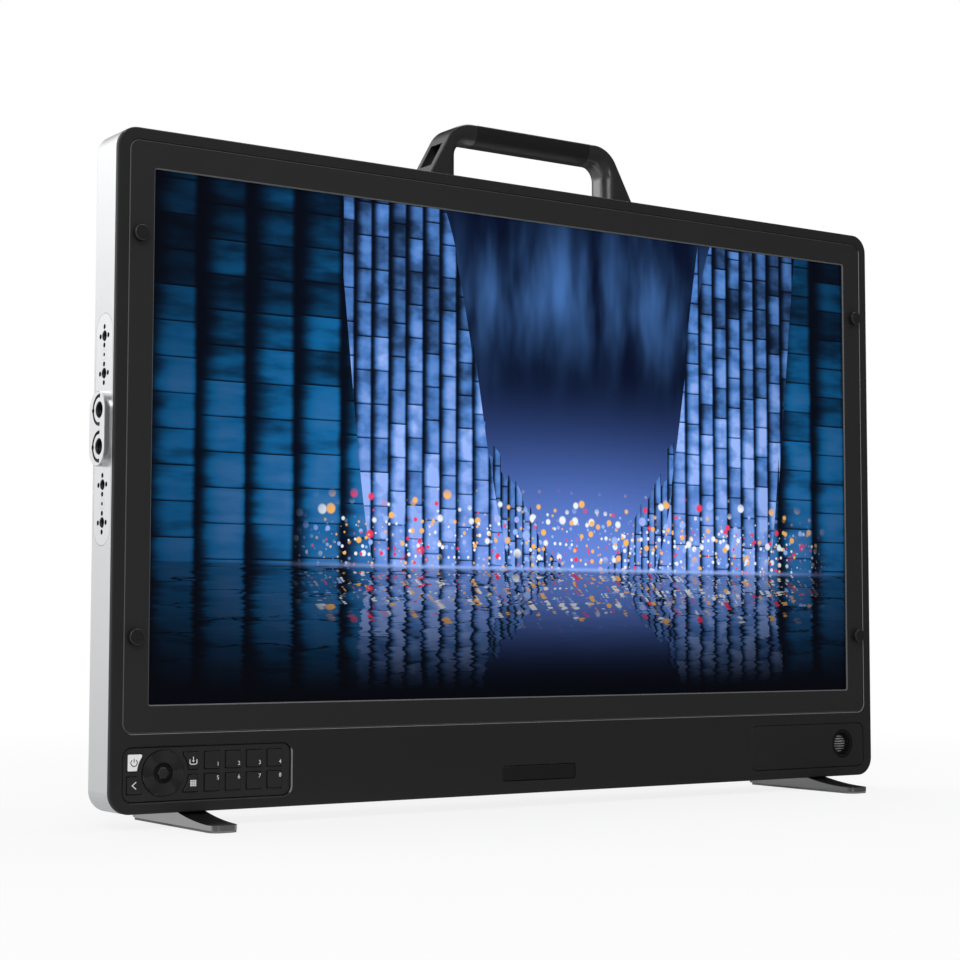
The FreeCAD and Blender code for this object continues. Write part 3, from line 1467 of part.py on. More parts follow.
def insert_blank(label, x, y, width, height, radius, z, depth):
    """A chin insert: a plate that fills its opening in the bezel, with a lip behind it."""
    piece = body(label, x, y, z)
    gap = 2 * dim.seam_gap
    pad(piece, rectangle(width - gap, height - gap, radius - dim.seam_gap), depth)
    lip = 2 * dim.insert_lip
    pad(piece, rectangle(width + lip, height + lip, radius), dim.insert_lip_thickness, depth)
    chamfer(piece, dim.plate_edge, in_plane("Y", 0))
    return piece


# Keypad: places are measured from the middle of its insert
key_rows = (dim.key_lift + key_row_pitch / 2, dim.key_lift - key_row_pitch / 2)
number_key_columns = [
    first_key - insert_width / 2 + step * key_pitch for step in range(KEYS_PER_ROW)
]
jog_spot = (jog_from_edge - insert_width / 2, dim.key_lift)
left_column = left_keys - insert_width / 2
right_column = right_keys - insert_width / 2
side_keys = {
    "key_power": (left_column, key_rows[0]),
    "key_back": (left_column, key_rows[1]),
    "key_input": (right_column, key_rows[0]),
    "key_menu": (right_column, key_rows[1]),
}
number_keys = {
    f"key_{row * KEYS_PER_ROW + column + 1}": (number_key_columns[column], key_rows[row])
    for row in (0, 1) for column in range(KEYS_PER_ROW)
}
key_post_places = corners(insert_width / 2 - dim.key_post_side, insert_height / 2 - dim.key_post_end)


def side_key_hole(reach, side, level):
    """Hole for a key beside the jog ring: the side towards the ring is an arc about it."""
    arc = key_arc_radius - dim.key_gap
    inner = reach - dim.side_key_width / 2 - dim.key_gap
    outer = reach + dim.side_key_width / 2 + dim.key_gap
    near = (key_row_pitch - dim.key_height) / 2 - dim.key_gap
    far = (key_row_pitch + dim.key_height) / 2 + dim.key_gap
    points = [
        (root(arc * arc - near * near), near), (outer, near), (outer, far), (inner, far),
        (inner, root(arc * arc - inner * inner)),
    ]
    points = [(jog_spot[0] + side * across, jog_spot[1] + level * up) for across, up in points]
    return polygon(points, {len(points) - 1: jog_spot})


def keypad_plate():
    """Recessed plate with holes for the jog ring and the keys, and posts for the key board."""
    depth = dim.bezel_thickness - dim.recess_depth
    piece = insert_blank(
        "keypad_plate", -insert_place, front + dim.recess_depth, insert_width, insert_height,
        dim.insert_radius, insert_middle, depth,
    )
    through = depth + dim.insert_lip_thickness
    gap = 2 * dim.key_gap
    holes = [rectangle(dim.key_width + gap, dim.key_height + gap, None, *spot) for spot in number_keys.values()]
    for level in (-1, 1):
        holes.append(side_key_hole(jog_spot[0] - left_column, -1, level))
        holes.append(side_key_hole(right_column - jog_spot[0], 1, level))
    pocket(piece, [*holes, circles(dim.jog_diameter + gap, [jog_spot])], through)
    post = key_board_front - insert_back
    pad(piece, circles(dim.key_post, key_post_places), post, through)
    holes = circles(dim.small_screw + 2 * dim.fit_gap, key_post_places)
    pocket(piece, holes, dim.key_screw_bite, through + post - dim.key_screw_bite)
    return piece


def key(label, spot, width, beside_jog):
    """A key cap with a lip that keeps it behind the plate; keys beside the jog ring curve round it."""
    across, up = spot
    piece = body(label, across - insert_place, front + dim.key_drop, insert_middle + up)
    cap = insert_back + dim.key_play - front - dim.key_drop
    pad(piece, rectangle(width, dim.key_height, dim.key_radius), cap)
    lip = 2 * dim.key_lip
    pad(piece, rectangle(width + lip, dim.key_height + lip, dim.key_radius), dim.key_lip_thickness, cap)
    if beside_jog:
        curve = circles(2 * key_arc_radius, [(jog_spot[0] - across, jog_spot[1] - up)])
        pocket(piece, curve, cap + dim.key_lip_thickness)
    fillet(piece, dim.key_edge, in_plane("Y", 0))
    return piece


def keypad_board():
    piece = body("keypad_board", -insert_place, key_board_front, insert_middle)
    width = insert_width - 2 * (dim.key_post_side - dim.key_board_edge)
    height = insert_height - 2 * (dim.key_post_end - dim.key_board_edge)
    pad(piece, rectangle(width, height, dim.key_board_corner), dim.key_board_thickness)
    holes = circles(dim.small_screw + 2 * dim.fit_gap, key_post_places)
    pocket(piece, holes, dim.key_board_thickness)
    return piece


def key_switches():
    """One switch behind each key, and a low one behind the select button."""
    piece = body("key_switches", -insert_place, switch_front, insert_middle)
    spots = [*side_keys.values(), *number_keys.values()]
    pad(piece, [rectangle(dim.switch_size, dim.switch_size, None, *spot) for spot in spots], dim.switch_height)
    low = select_back + dim.nub_travel + dim.key_play
    pad(piece, circles(dim.switch_size, [jog_spot]), key_board_front - low, low - switch_front)
    return piece


sleeve_tip = front - dim.jog_proud + dim.jog_front + dim.sleeve_front
select_shoulder = sleeve_tip + dim.sleeve_front + dim.key_play
select_back = select_shoulder + dim.nub_collar_height


def jog_ring():
    """Scalloped ring that turns on the encoder's sleeve, kept behind the plate by its lip."""
    piece = body("jog_ring", jog_place, front, jog_middle)
    piece.Placement.Rotation = FreeCAD.Rotation(FreeCAD.Vector(0, 1, 0), SCALLOP_TURN)
    outer = dim.jog_diameter / 2
    bore = sleeve_diameter / 2 + dim.running_gap
    top = -dim.jog_proud
    lip_front = insert_back + dim.key_play - front
    lip_back = lip_front + dim.jog_lip_thickness
    turned(piece, [
        (dim.jog_opening / 2, top), (outer - dim.jog_crown, top), (outer, top + dim.jog_crown),
        (outer, lip_front), (outer + dim.jog_lip, lip_front), (outer + dim.jog_lip, lip_back),
        (bore, lip_back), (bore, top + dim.jog_front), (dim.jog_opening / 2, top + dim.jog_front),
    ])
    scoop = circles(2 * dim.scallop_radius, [(0, top + dim.scallop_depth - dim.scallop_radius)])
    scoop = pocket(piece, scoop, dim.jog_diameter, 0, "plan")
    around(piece, scoop, SCALLOP_COUNT)
    return piece


def jog_encoder():
    """Sleeve that carries the jog ring, on a base on the key board."""
    piece = body("jog_encoder", jog_place, 0, jog_middle)
    outer = sleeve_diameter / 2
    inner = outer - dim.sleeve_wall
    base_front = insert_back + dim.key_play + dim.jog_lip_thickness + dim.encoder_base_gap
    turned(piece, [
        (sleeve_mouth / 2, sleeve_tip), (outer, sleeve_tip), (outer, base_front),
        (dim.encoder_base / 2, base_front), (dim.encoder_base / 2, key_board_front), (inner, key_board_front),
        (inner, sleeve_tip + dim.sleeve_front), (sleeve_mouth / 2, sleeve_tip + dim.sleeve_front),
    ])
    return piece


def select_button():
    """Six-sided nub in the middle of the ring, with a collar that keeps it in the sleeve."""
    piece = body("select_button", jog_place, front - dim.nub_proud, jog_middle)
    start = front - dim.nub_proud
    pad(piece, hexagon(dim.nub_flats), select_back - start)
    chamfer(piece, dim.nub_edge, in_plane("Y", 0))
    collar = sleeve_diameter - 2 * dim.sleeve_wall - 2 * dim.key_gap
    pad(piece, circles(collar), dim.nub_collar_height, select_shoulder - start)
    return piece


def speaker_panel():
    """Flush panel at the other end of the chin, open for the grille."""
    piece = insert_blank(
        "speaker_panel", insert_place, front, insert_width, insert_height, dim.insert_radius,
        insert_middle, dim.bezel_thickness,
    )
    hole = circles(dim.grille_diameter + 2 * dim.seam_gap, [(speaker_place - insert_place, dim.grille_lift)])
    pocket(piece, hole, dim.bezel_thickness + dim.insert_lip_thickness)
    return piece


def speaker_grille():
    """Round grille with level slots, each as long as its chord allows, on a rim that reaches the driver."""
    piece = body("speaker_grille", speaker_place, front + dim.grille_drop, speaker_middle)
    depth = insert_back - front - dim.grille_drop
    pad(piece, circles(dim.grille_diameter), depth)
    hollow = dim.grille_diameter - 2 * dim.grille_rim
    pocket(piece, circles(hollow), depth - dim.grille_thickness, dim.grille_thickness)
    reach = hollow / 2 - dim.grille_rim
    slot_pitch = (reach - dim.grille_slot_end) / max(GRILLE_SLOT_STEPS)
    slots = []
    for step in GRILLE_SLOT_STEPS:
        level = step * slot_pitch
        slots.append(rectangle(2 * root(reach * reach - level * level), dim.grille_slot, None, 0, level))
    pocket(piece, slots, dim.grille_thickness)
    return piece


def speaker_driver():
    """Small driver with a domed front, a rim and a magnet behind."""
    piece = body("speaker_driver", speaker_place, insert_back, speaker_middle)
    rim = dim.driver_diameter / 2
    dome = dim.dome_diameter / 2
    bend = (dome * dome + dim.dome_height * dim.dome_height) / (2 * dim.dome_height)
    profile = [
        (0, -dim.dome_height), (dome, 0), (rim, 0), (rim, dim.driver_rim),
        (dim.magnet_diameter / 2, dim.driver_depth / 2), (dim.magnet_diameter / 2, dim.driver_depth),
        (0, dim.driver_depth),
    ]
    turned(piece, profile, {0: (0, bend - dim.dome_height)})
    return piece


def tally_lens():
    return insert_blank(
        "tally_lens", 0, front, dim.tally_width, dim.tally_height, dim.tally_radius, tally_middle,
        dim.bezel_thickness,
    )


def build():
    bracket = handle_bracket()
    right_foot = foot()
    right_mount = side_mount()
    pieces = [
        mid_frame(), front_bezel(), screen_surround(), screen_gasket(), lcd_panel(), backlight_unit(),
        panel_rails(), chassis_plate(), rear_cover(), rear_cover_screws(), bezel_screws(), hood_studs(),
        bracket, mirrored("handle_bracket_left", bracket), handle_grip(), handle_screws(),
        right_foot, mirrored("foot_left", right_foot), foot_pads(), foot_screws(),
        right_mount, mirrored("side_mount_left", right_mount), side_mount_screws(),
        main_board(), heat_sink(), power_board(), board_screws(), io_plate(), sdi_jacks(), hdmi_sockets(),
        data_sockets(), dc_inlet(), headphone_jack(), vesa_posts(),
        fan_housings(), fan_rotor("fan_rotor_left", -1), fan_rotor("fan_rotor_right", 1), fan_screws(),
        keypad_plate(), keypad_board(), key_switches(), jog_ring(), jog_encoder(), select_button(),
        speaker_panel(), speaker_grille(), speaker_driver(), tally_lens(),
    ]
    pieces += [key(label, spot, dim.side_key_width, True) for label, spot in side_keys.items()]
    pieces += [key(label, spot, dim.key_width, False) for label, spot in number_keys.items()]
    doc.recompute()
    return pieces


def check(pieces):
    """Stop if an object failed, a cut removed nothing or a piece is not a sound solid."""
    for item in doc.Objects:
        if "Invalid" in item.State or "Error" in item.State:
            raise RuntimeError(f"{item.Label} failed: {item.State}")
        if item.TypeId == "PartDesign::Pocket" and item.Shape.Volume > item.BaseFeature.Shape.Volume - NEAR:
            raise RuntimeError(f"{item.Label} cuts nothing")
        if item.TypeId == "Part::Cut" and item.Shape.Volume > item.Base.Shape.Volume - NEAR:
            raise RuntimeError(f"{item.Label} cuts nothing")
    for piece in pieces:
        if piece.Shape.isNull() or not piece.Shape.isValid() or not piece.Shape.Solids:
            raise RuntimeError(f"{piece.Label} is not a sound solid")


def save(pieces):
    os.makedirs("parts", exist_ok=True)
    for piece in pieces:
        piece.Shape.exportStep(f"parts/{piece.Label}.step")


finished = build()
check(finished)
save(finished)
print(len(finished), "pieces,", sum(len(piece.Shape.Solids) for piece in finished), "solids")
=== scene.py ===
import json
import math

import bmesh
import bpy
from bpy.props import FloatProperty, FloatVectorProperty, PointerProperty
from mathutils import Matrix, Vector


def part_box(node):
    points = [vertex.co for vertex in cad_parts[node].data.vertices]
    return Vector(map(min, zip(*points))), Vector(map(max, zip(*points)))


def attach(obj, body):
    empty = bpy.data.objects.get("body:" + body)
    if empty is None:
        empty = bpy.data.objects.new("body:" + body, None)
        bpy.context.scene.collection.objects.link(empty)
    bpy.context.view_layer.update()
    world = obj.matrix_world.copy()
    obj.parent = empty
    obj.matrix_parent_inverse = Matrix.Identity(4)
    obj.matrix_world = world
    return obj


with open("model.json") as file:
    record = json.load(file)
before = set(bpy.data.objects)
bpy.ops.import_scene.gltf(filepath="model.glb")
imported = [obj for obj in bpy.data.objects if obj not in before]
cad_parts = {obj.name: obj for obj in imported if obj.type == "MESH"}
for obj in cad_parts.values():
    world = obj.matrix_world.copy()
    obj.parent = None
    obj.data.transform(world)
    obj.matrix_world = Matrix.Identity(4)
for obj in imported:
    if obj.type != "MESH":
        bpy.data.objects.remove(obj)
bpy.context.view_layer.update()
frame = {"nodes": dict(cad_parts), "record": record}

bl_info = {
    "name": "Reference monitor finishes",
    "version": (1, 0, 0),
    "blender": (4, 5, 0),
    "location": "View3D > Sidebar > Monitor",
    "description": "Finishes, key legends, threads, a test picture and a stage for the monitor",
    "category": "Object",
}

MM = 0.001
BODY = "monitor"
cad_nodes = frame["nodes"]


class Value:
    """A shader socket; sums and products of values add Math nodes."""

    def __init__(self, nodes, socket):
        self.nodes = nodes
        self.socket = socket

    def math(self, operation, *others):
        return self.nodes.node("ShaderNodeMath", {"operation": operation}, [self, *others])

    def __add__(self, other):
        return self.math("ADD", other)

    def __sub__(self, other):
        return self.math("SUBTRACT", other)

    def __rsub__(self, other):
        return self * -1 + other

    def __mul__(self, other):
        return self.math("MULTIPLY", other)

    def __truediv__(self, other):
        return self.math("DIVIDE", other)

    def __gt__(self, other):
        return self.math("GREATER_THAN", other)

    def __lt__(self, other):
        return self.math("LESS_THAN", other)

    __radd__ = __add__
    __rmul__ = __mul__

    def fade(self, low, high):
        """0 at low, 1 at high, smooth between."""
        settings = {"interpolation_type": "SMOOTHSTEP"}
        return self.nodes.node("ShaderNodeMapRange", settings, {0: self, 1: low, 2: high})

    def bell(self, middle, width):
        """1 at the middle, falling off over the width."""
        share = (self - middle) / width
        return (share * share * -1).math("EXPONENT")


class Nodes:
    """A node tree that grows by expressions."""

    def __init__(self, tree):
        self.tree = tree

    def node(self, kind, settings=None, inputs=(), output=0):
        """Add a node: its settings first, then the values or links of its sockets."""
        made = self.tree.nodes.new(kind)
        for name, value in (settings or {}).items():
            if name == "stops":
                self.set_stops(made.color_ramp, value)
            else:
                setattr(made, name, value)
        for key, value in inputs.items() if isinstance(inputs, dict) else enumerate(inputs):
            self.feed(made.inputs[key], value)
        return Value(self, made.outputs[output])

    def set_stops(self, ramp, stops):
        while len(ramp.elements) < len(stops):
            ramp.elements.new(1)
        for element, (position, colour) in zip(ramp.elements, stops):
            element.position = position
            element.color = colour

    def feed(self, socket, value):
        if isinstance(value, Value):
            self.tree.links.new(value.socket, socket)
        else:
            socket.default_value = value


class Finish(Nodes):
    """A material made of nodes."""

    def __init__(self, name):
        self.material = bpy.data.materials.new(name)
        self.material.use_nodes = True
        super().__init__(self.material.node_tree)

    def surface(self, settings):
        for name, value in settings.items():
            self.feed(self.tree.nodes["Principled BSDF"].inputs[name], value)
        return self.material

    def place(self):
        return self.node("ShaderNodeTexCoord", None, (), "Object")

    def normal(self, name):
        """How far the surface faces along an axis, from -1 to 1."""
        return self.axis(self.node("ShaderNodeTexCoord", None, (), "Normal"), name)

    def facing(self):
        """1 where the surface faces straight front or back, 0 where it faces aside."""
        return self.normal("Y").math("ABSOLUTE")

    def rubbed(self, place, span=None):
        """Share of a painted highlight: 1 on slanted edges; with a span across and up, only inside it and
        where they face up or left, towards the light.
        """
        slant, spread = 0.7, 0.14
        share = self.facing().bell(slant, spread)
        if span:
            share = share * (self.normal("Z") - self.normal("X")).fade(0.3, 0.6)
            for name, (start, stop) in zip("XZ", span):
                spot = self.axis(place, name)
                share = share * (spot > start) * (spot < stop)
        return share

    def axis(self, place, name):
        return self.node("ShaderNodeSeparateXYZ", None, [place], name)

    def point(self, x, y, z=0.0):
        return self.node("ShaderNodeCombineXYZ", None, [x, y, z])

    def noise(self, place, scale, detail=2.0):
        return self.node("ShaderNodeTexNoise", None, {"Vector": place, "Scale": scale, "Detail": detail})

    def stretch(self, place, scale):
        return self.node("ShaderNodeMapping", None, {"Vector": place, "Scale": scale})

    def mix(self, share, first, second, blend="MIX"):
        settings = {"data_type": "RGBA", "blend_type": blend, "clamp_factor": True}
        return self.node("ShaderNodeMix", settings, {0: share, 6: first, 7: second}, 2)

    def bump(self, height, strength, distance):
        inputs = {"Height": height, "Strength": strength, "Distance": distance}
        return self.node("ShaderNodeBump", None, inputs)


def rgba(colour):
    return (*colour[:3], 1.0)


def shaded(colour, factor):
    return tuple(min(1.0, channel * factor) for channel in colour[:3]) + (1.0,)


def coated(name, colour, roughness=0.5, grain=2400.0, relief=0.1, ior=1.45, edges=0.0, span=None):
    """Paint, powder coat or dark anodising: soft patches of tone, a fine grain and a painted highlight on
    slanted edges, at the level edges.
    """
    finish = Finish(name)
    place = finish.place()
    patchy = 0.08
    patches = finish.noise(place, scale=9.0, detail=3.0)
    fine = finish.noise(place, scale=grain)
    tone = finish.mix(patches, shaded(colour, 1 - patchy), shaded(colour, 1 + patchy))
    # Painted highlight: slanted edges get a paler colour, as where they would catch the light.
    if edges:
        tone = finish.mix(finish.rubbed(place, span), tone, (edges, edges, edges, 1.0))
    return finish.surface({
        "Base Color": tone,
        "Roughness": roughness - 0.05 + 0.06 * patches + 0.05 * fine,
        "Normal": finish.bump(fine, strength=relief, distance=0.05 * MM),
        "IOR": ior,
    })


def blasted(name, colour, roughness, grain=2600.0, relief=0.12, metallic=0.6, top_shade=1.0):
    """Bead-blasted metal under a clear anodised layer; the last argument is the share of its tone on faces
    that look up, a painted shade on the tops.
    """
    finish = Finish(name)
    place = finish.place()
    patches = finish.noise(place, scale=6.0)
    fine = finish.noise(place, scale=grain, detail=3.0)
    tone = finish.mix(patches, shaded(colour, 0.97), shaded(colour, 1.03))
    # Painted shade: faces that look up get a darker copy of the tone.
    if top_shade < 1:
        tone = finish.mix(finish.normal("Z").fade(0.2, 0.6), tone, shaded(colour, top_shade))
    return finish.surface({
        "Base Color": tone,
        "Metallic": metallic,
        "Roughness": roughness + 0.05 * fine + 0.04 * patches,
        "Normal": finish.bump(fine, strength=relief, distance=0.03 * MM),
    })


def recessed(name, colour, roughness):
    """Machined side mount: bright outer faces, and below them walls and grooves in painted shade, near-black
    and not metallic.
    """
    finish = Finish(name)
    place = finish.place()
    plate_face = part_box("mid_frame")[1].x
    low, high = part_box("side_mount_right")
    boss_height, edge_round, rim = 42.0 * MM, 0.5 * MM, 0.9 * MM
    skin = 0.2 * MM
    half_width = (high.y - low.y) / 2 - edge_round
    straight = boss_height / 2 - half_width
    out = finish.axis(place, "X").math("ABSOLUTE")
    up = finish.axis(place, "Z") - (low.z + high.z) / 2
    beyond = (up.math("ABSOLUTE") - straight).math("MAXIMUM", 0.0)
    across = finish.axis(place, "Y") - (low.y + high.y) / 2
    reach = (across * across + beyond * beyond).math("SQRT")
    # Painted shade: the walls below the plate face and the grooves round the holes get a near-black colour.
    groove = (out < high.x - skin) * (reach < half_width - rim)
    dark = (out < plate_face - skin).math("MAXIMUM", groove)
    fine = finish.noise(place, scale=3600.0, detail=3.0)
    patches = finish.noise(place, scale=6.0)
    tone = finish.mix(patches, shaded(colour, 0.97), shaded(colour, 1.03))
    return finish.surface({
        "Base Color": finish.mix(dark, tone, (0.012, 0.012, 0.013, 1.0)),
        "Metallic": 0.95 * (1 - dark),
        "Roughness": roughness + 0.05 * fine + 0.3 * dark,
        "Normal": finish.bump(fine, strength=0.08, distance=0.03 * MM),
    })


def turned(name, colour, roughness):
    """Machined metal with fine tool lines."""
    finish = Finish(name)
    place = finish.place()
    lines = finish.noise(finish.stretch(place, (1.0, 0.04, 1.0)), scale=9000.0)
    patches = finish.noise(place, scale=60.0)
    tone = finish.mix(patches, shaded(colour, 0.9), shaded(colour, 1.08))
    return finish.surface({
        "Base Color": tone,
        "Metallic": 1.0,
        "Roughness": roughness + 0.1 * lines,
        "Normal": finish.bump(lines, strength=0.15, distance=0.02 * MM),
    })


def sheet_metal(name, colour, roughness):
    """Rolled sheet with streaks along its length."""
    finish = Finish(name)
    place = finish.place()
    streaks = finish.noise(finish.stretch(place, (0.06, 1.0, 1.0)), scale=700.0, detail=3.0)
    patches = finish.noise(place, scale=14.0)
    tone = finish.mix(patches, shaded(colour, 0.92), shaded(colour, 1.06))
    return finish.surface({
        "Base Color": tone,
        "Metallic": 1.0,
        "Roughness": roughness + 0.12 * streaks,
        "Normal": finish.bump(streaks, strength=0.08, distance=0.02 * MM),
    })


def moulded(name, colour, roughness, grain=1500.0, relief=0.2):
    """Moulded plastic or rubber with a fine spark-eroded texture."""
    finish = Finish(name)
    place = finish.place()
    cells = finish.node("ShaderNodeTexVoronoi", None, {"Vector": place, "Scale": grain})
    patches = finish.noise(place, scale=40.0)
    tone = finish.mix(patches, shaded(colour, 0.9), shaded(colour, 1.1))
    return finish.surface({
        "Base Color": tone,
        "Roughness": roughness + 0.08 * patches,
        "Normal": finish.bump(cells, strength=relief, distance=0.04 * MM),
    })


def pale_cap(name, colour, side_colour):
    """Pale key cap with darker sides."""
    finish = Finish(name)
    place = finish.place()
    cells = finish.node("ShaderNodeTexVoronoi", None, {"Vector": place, "Scale": 2600.0})
    patches = finish.noise(place, scale=40.0)
    face = finish.mix(patches, shaded(colour, 0.96), shaded(colour, 1.04))
    return finish.surface({
        "Base Color": finish.mix(finish.facing().fade(0.7, 0.95), rgba(side_colour), face),
        "Roughness": 0.5 + 0.08 * patches,
        "Normal": finish.bump(cells, strength=0.04, distance=0.04 * MM),
    })


def dome(name, colour, radius):
    """Speaker driver: a pale dome in a dark cone."""
    finish = Finish(name)
    place = finish.place()
    low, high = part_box("speaker_driver")
    across = finish.axis(place, "X") - (low.x + high.x) / 2
    up = finish.axis(place, "Z") - (low.z + high.z) / 2
    reach = (across * across + up * up).math("SQRT")
    rim = 0.92
    cap = 1 - reach.fade(radius * rim, radius)
    fine = finish.noise(place, scale=1800.0)
    return finish.surface({
        "Base Color": finish.mix(cap, (0.008, 0.008, 0.008, 1.0), rgba(colour)),
        "Roughness": 0.55 - 0.25 * cap + 0.05 * fine,
        "Normal": finish.bump(fine, strength=0.05, distance=0.03 * MM),
    })


def circuit(name, colour, pad_colour):
    """Solder mask over traces, with bare pads."""
    finish = Finish(name)
    place = finish.place()
    traces = finish.node(
        "ShaderNodeTexVoronoi", {"distance": "MANHATTAN", "feature": "F2"}, {"Vector": place, "Scale": 260.0}
    )
    line = (traces * 14.0).math("FRACT").fade(0.35, 0.5)
    dots = finish.node("ShaderNodeTexVoronoi", None, {"Vector": place, "Scale": 420.0}) < 0.16
    mask = finish.mix(line, shaded(colour, 0.75), shaded(colour, 1.25))
    return finish.surface({
        "Base Color": finish.mix(dots, mask, rgba(pad_colour)),
        "Metallic": dots * 0.9,
        "Roughness": 0.38 - 0.08 * dots,
        "Normal": finish.bump(line, strength=0.2, distance=0.04 * MM),
    })


# Rows of columns from far to near: how many, where the gap in the middle ends and full height starts,
# the height and its swing, the light on them, and 1 for the colour of near stone. Lengths are shares
# of the picture.
CLIFFS = (
    {
        "columns": 96, "gap": 0.02, "full": 0.15, "height": 0.26, "swing": 0.10,
        "light": 0.7, "near": 0.0, "seed": 3,
    },
    {
        "columns": 44, "gap": 0.10, "full": 0.21, "height": 0.80, "swing": 0.24,
        "light": 1.5, "near": 0.0, "seed": 11,
    },
    {
        "columns": 17, "gap": 0.29, "full": 0.36, "height": 0.95, "swing": 0.40,
        "light": 0.9, "near": 1.0, "seed": 29,
    },
)

# Bands of shore lights: how many across, and how high above the shore.
LAMP_BANDS = ((26.0, 0.09), (40.0, 0.06), (64.0, 0.03))


def rock_columns(finish, picture, cliff, place, shore, glow, look):
    """One row of stone columns on both sides of the inlet, in front of the picture so far."""
    u, up, away = place
    courses, stagger, joint = 15.0, 9.0, 0.09
    soft_top, soft_side, lit_height = 0.003, 0.004, 0.62
    across = u * cliff["columns"]
    share = across.math("FRACT")
    column = across.math("FLOOR") + cliff["seed"]
    chance = finish.node("ShaderNodeTexWhiteNoise", {"noise_dimensions": "1D"}, {"W": column})
    rise = away.fade(cliff["gap"], cliff["full"])
    crest = shore + rise * (cliff["height"] + cliff["swing"] * (chance - 0.5))
    mask = (crest - up).fade(0.0, soft_top) * away.fade(cliff["gap"], cliff["gap"] + soft_side)
    rounded = share.fade(0.0, 0.55) * (1 - share.fade(0.84, 1.0))
    blocks = up * courses + chance * stagger
    crack = blocks.math("FRACT").fade(0.0, joint)
    block = finish.point(column, blocks.math("FLOOR"))
    wear = finish.node("ShaderNodeTexWhiteNoise", {"noise_dimensions": "2D"}, {"Vector": block})
    stone = finish.noise(finish.point(across * 0.7, up * 26.0), scale=1.0, detail=4.0).fade(0.3, 0.7)
    low = 1 - (up - shore).fade(0.0, lit_height)
    lit = cliff["light"] * (0.5 + 1.7 * low) * (0.35 + 0.65 * stone) * (0.3 + 0.7 * wear)
    tone = lit * (0.05 + 0.95 * rounded * crack)
    colour = finish.mix(cliff["near"], rgba(look.rock_colour), rgba(look.near_colour))
    rock = finish.mix(tone.fade(0.0, 0.55), rgba(look.shade_colour), colour)
    rock = finish.mix((tone - 0.5) * (1.1 - 0.95 * cliff["near"]), rock, rgba(look.shine_colour))
    rock = finish.mix(glow * cliff["light"] * rounded * crack * 0.75, rock, rgba(look.glow_colour))
    return finish.mix(mask, picture, rock)


def shore_lamps(finish, picture, place, shore, scale, level, look):
    """Round lights of mixed colours in a band above the shore."""
    u, up, away = place
    aspect, band_height = 1.778, 0.055
    smallest, growth, soft_rim = 0.10, 0.22, 0.12
    unlit_end, warm_end, cold_end, red_end = 0.16, 0.38, 0.62, 0.74
    spot = finish.point(u * aspect, up, level)
    settings = {"voronoi_dimensions": "2D"}
    inputs = {"Vector": spot, "Scale": scale, "Randomness": 0.85}
    distance = finish.node("ShaderNodeTexVoronoi", settings, inputs)
    chance = finish.node("ShaderNodeTexVoronoi", settings, inputs, "Color")
    pick = finish.axis(chance, "X")
    size = smallest + growth * finish.axis(chance, "Y")
    band = up.bell(shore + level, band_height) * (1 - away.fade(0.24, 0.44))
    lamp = (size - distance).fade(0.0, soft_rim) * band.fade(0.1, 0.45) * (pick > unlit_end)
    hue = finish.mix(pick > warm_end, rgba(look.lamp_colour), rgba(look.shine_colour))
    hue = finish.mix(pick > cold_end, hue, rgba(look.accent_colour))
    hue = finish.mix(pick > red_end, hue, rgba(look.white_colour))
    return finish.mix(lamp, picture, hue)


def light_map(finish, u, v, look):
    """Colours of the test picture: stone columns round a sea inlet at night, and the still water."""
    shore, middle, picture_middle = 0.27, 0.57, 0.53
    shore_blur, line_height = 0.002, 0.004
    below = (shore - v).fade(-shore_blur, shore_blur)
    ripple = finish.noise(finish.point(u * 18.0, v * 130.0), scale=1.0, detail=3.0) - 0.5
    up = shore + (v - shore).math("ABSOLUTE") * (1 + 0.35 * below) + 0.05 * ripple * below
    along = u + 0.02 * ripple * below
    away = (along - middle).math("ABSOLUTE")
    place = (along, up, away)
    glow = away.bell(0.0, 0.24) * up.bell(shore, 0.17)
    picture = finish.mix(up.fade(shore, 0.7), rgba(look.haze_colour), rgba(look.sky_colour))
    veil = finish.noise(finish.point(along * 16.0, up * 2.2, 4.0), scale=1.0, detail=3.0)
    arch = (up + 1.6 * away * away).bell(0.86, 0.13)
    picture = finish.mix(veil.fade(0.35, 0.75) * arch * 0.8, picture, rgba(look.rock_colour))
    picture = finish.mix(glow * 0.8, picture, rgba(look.glow_colour))
    for cliff in CLIFFS:
        picture = rock_columns(finish, picture, cliff, place, shore, glow, look)
    for scale, level in LAMP_BANDS:
        picture = shore_lamps(finish, picture, place, shore, scale, level, look)
    depth = below * (0.45 + 0.55 * (1 - v.fade(0.02, shore)))
    picture = finish.mix(depth, picture, rgba(look.water_colour))
    line = v.bell(shore, line_height) * (1 - away.fade(0.2, 0.45))
    picture = finish.mix(line * 0.7, picture, rgba(look.shine_colour))
    corner = (u - picture_middle).math("ABSOLUTE").fade(0.22, 0.56) * (1 - 0.5 * v.bell(0.5, 0.3))
    return finish.mix(corner * 0.95, picture, rgba(look.water_colour))


def lit_panel(look):
    """Picture panel: a dark anti-glare face that shows its own light."""
    finish = Finish("lit_panel")
    low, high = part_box("screen_gasket")
    place = finish.place()
    u = (finish.axis(place, "X") - low.x) / (high.x - low.x)
    v = (finish.axis(place, "Z") - low.z) / (high.z - low.z)
    fine = finish.noise(place, scale=4000.0, detail=1.0)
    return finish.surface({
        "Base Color": (0.002, 0.002, 0.003, 1.0),
        "Roughness": 0.28 + 0.06 * fine,
        "IOR": 1.2,
        "Emission Color": light_map(finish, u, v, look),
        "Emission Strength": look.brightness,
    })


def seen_rays(nodes):
    """Rays from the camera, and rays that metal, gloss or glass sends on."""
    rays = ("Is Camera Ray", "Is Glossy Ray", "Is Transmission Ray")
    camera, glossy, through = [nodes.node("ShaderNodeLightPath", None, (), ray) for ray in rays]
    return camera, glossy.math("MAXIMUM", through)


def paint(material, *names):
    """Give CAD nodes a finish."""
    for name in names:
        mesh = cad_nodes[name].data
        mesh.materials.clear()
        mesh.materials.append(material)


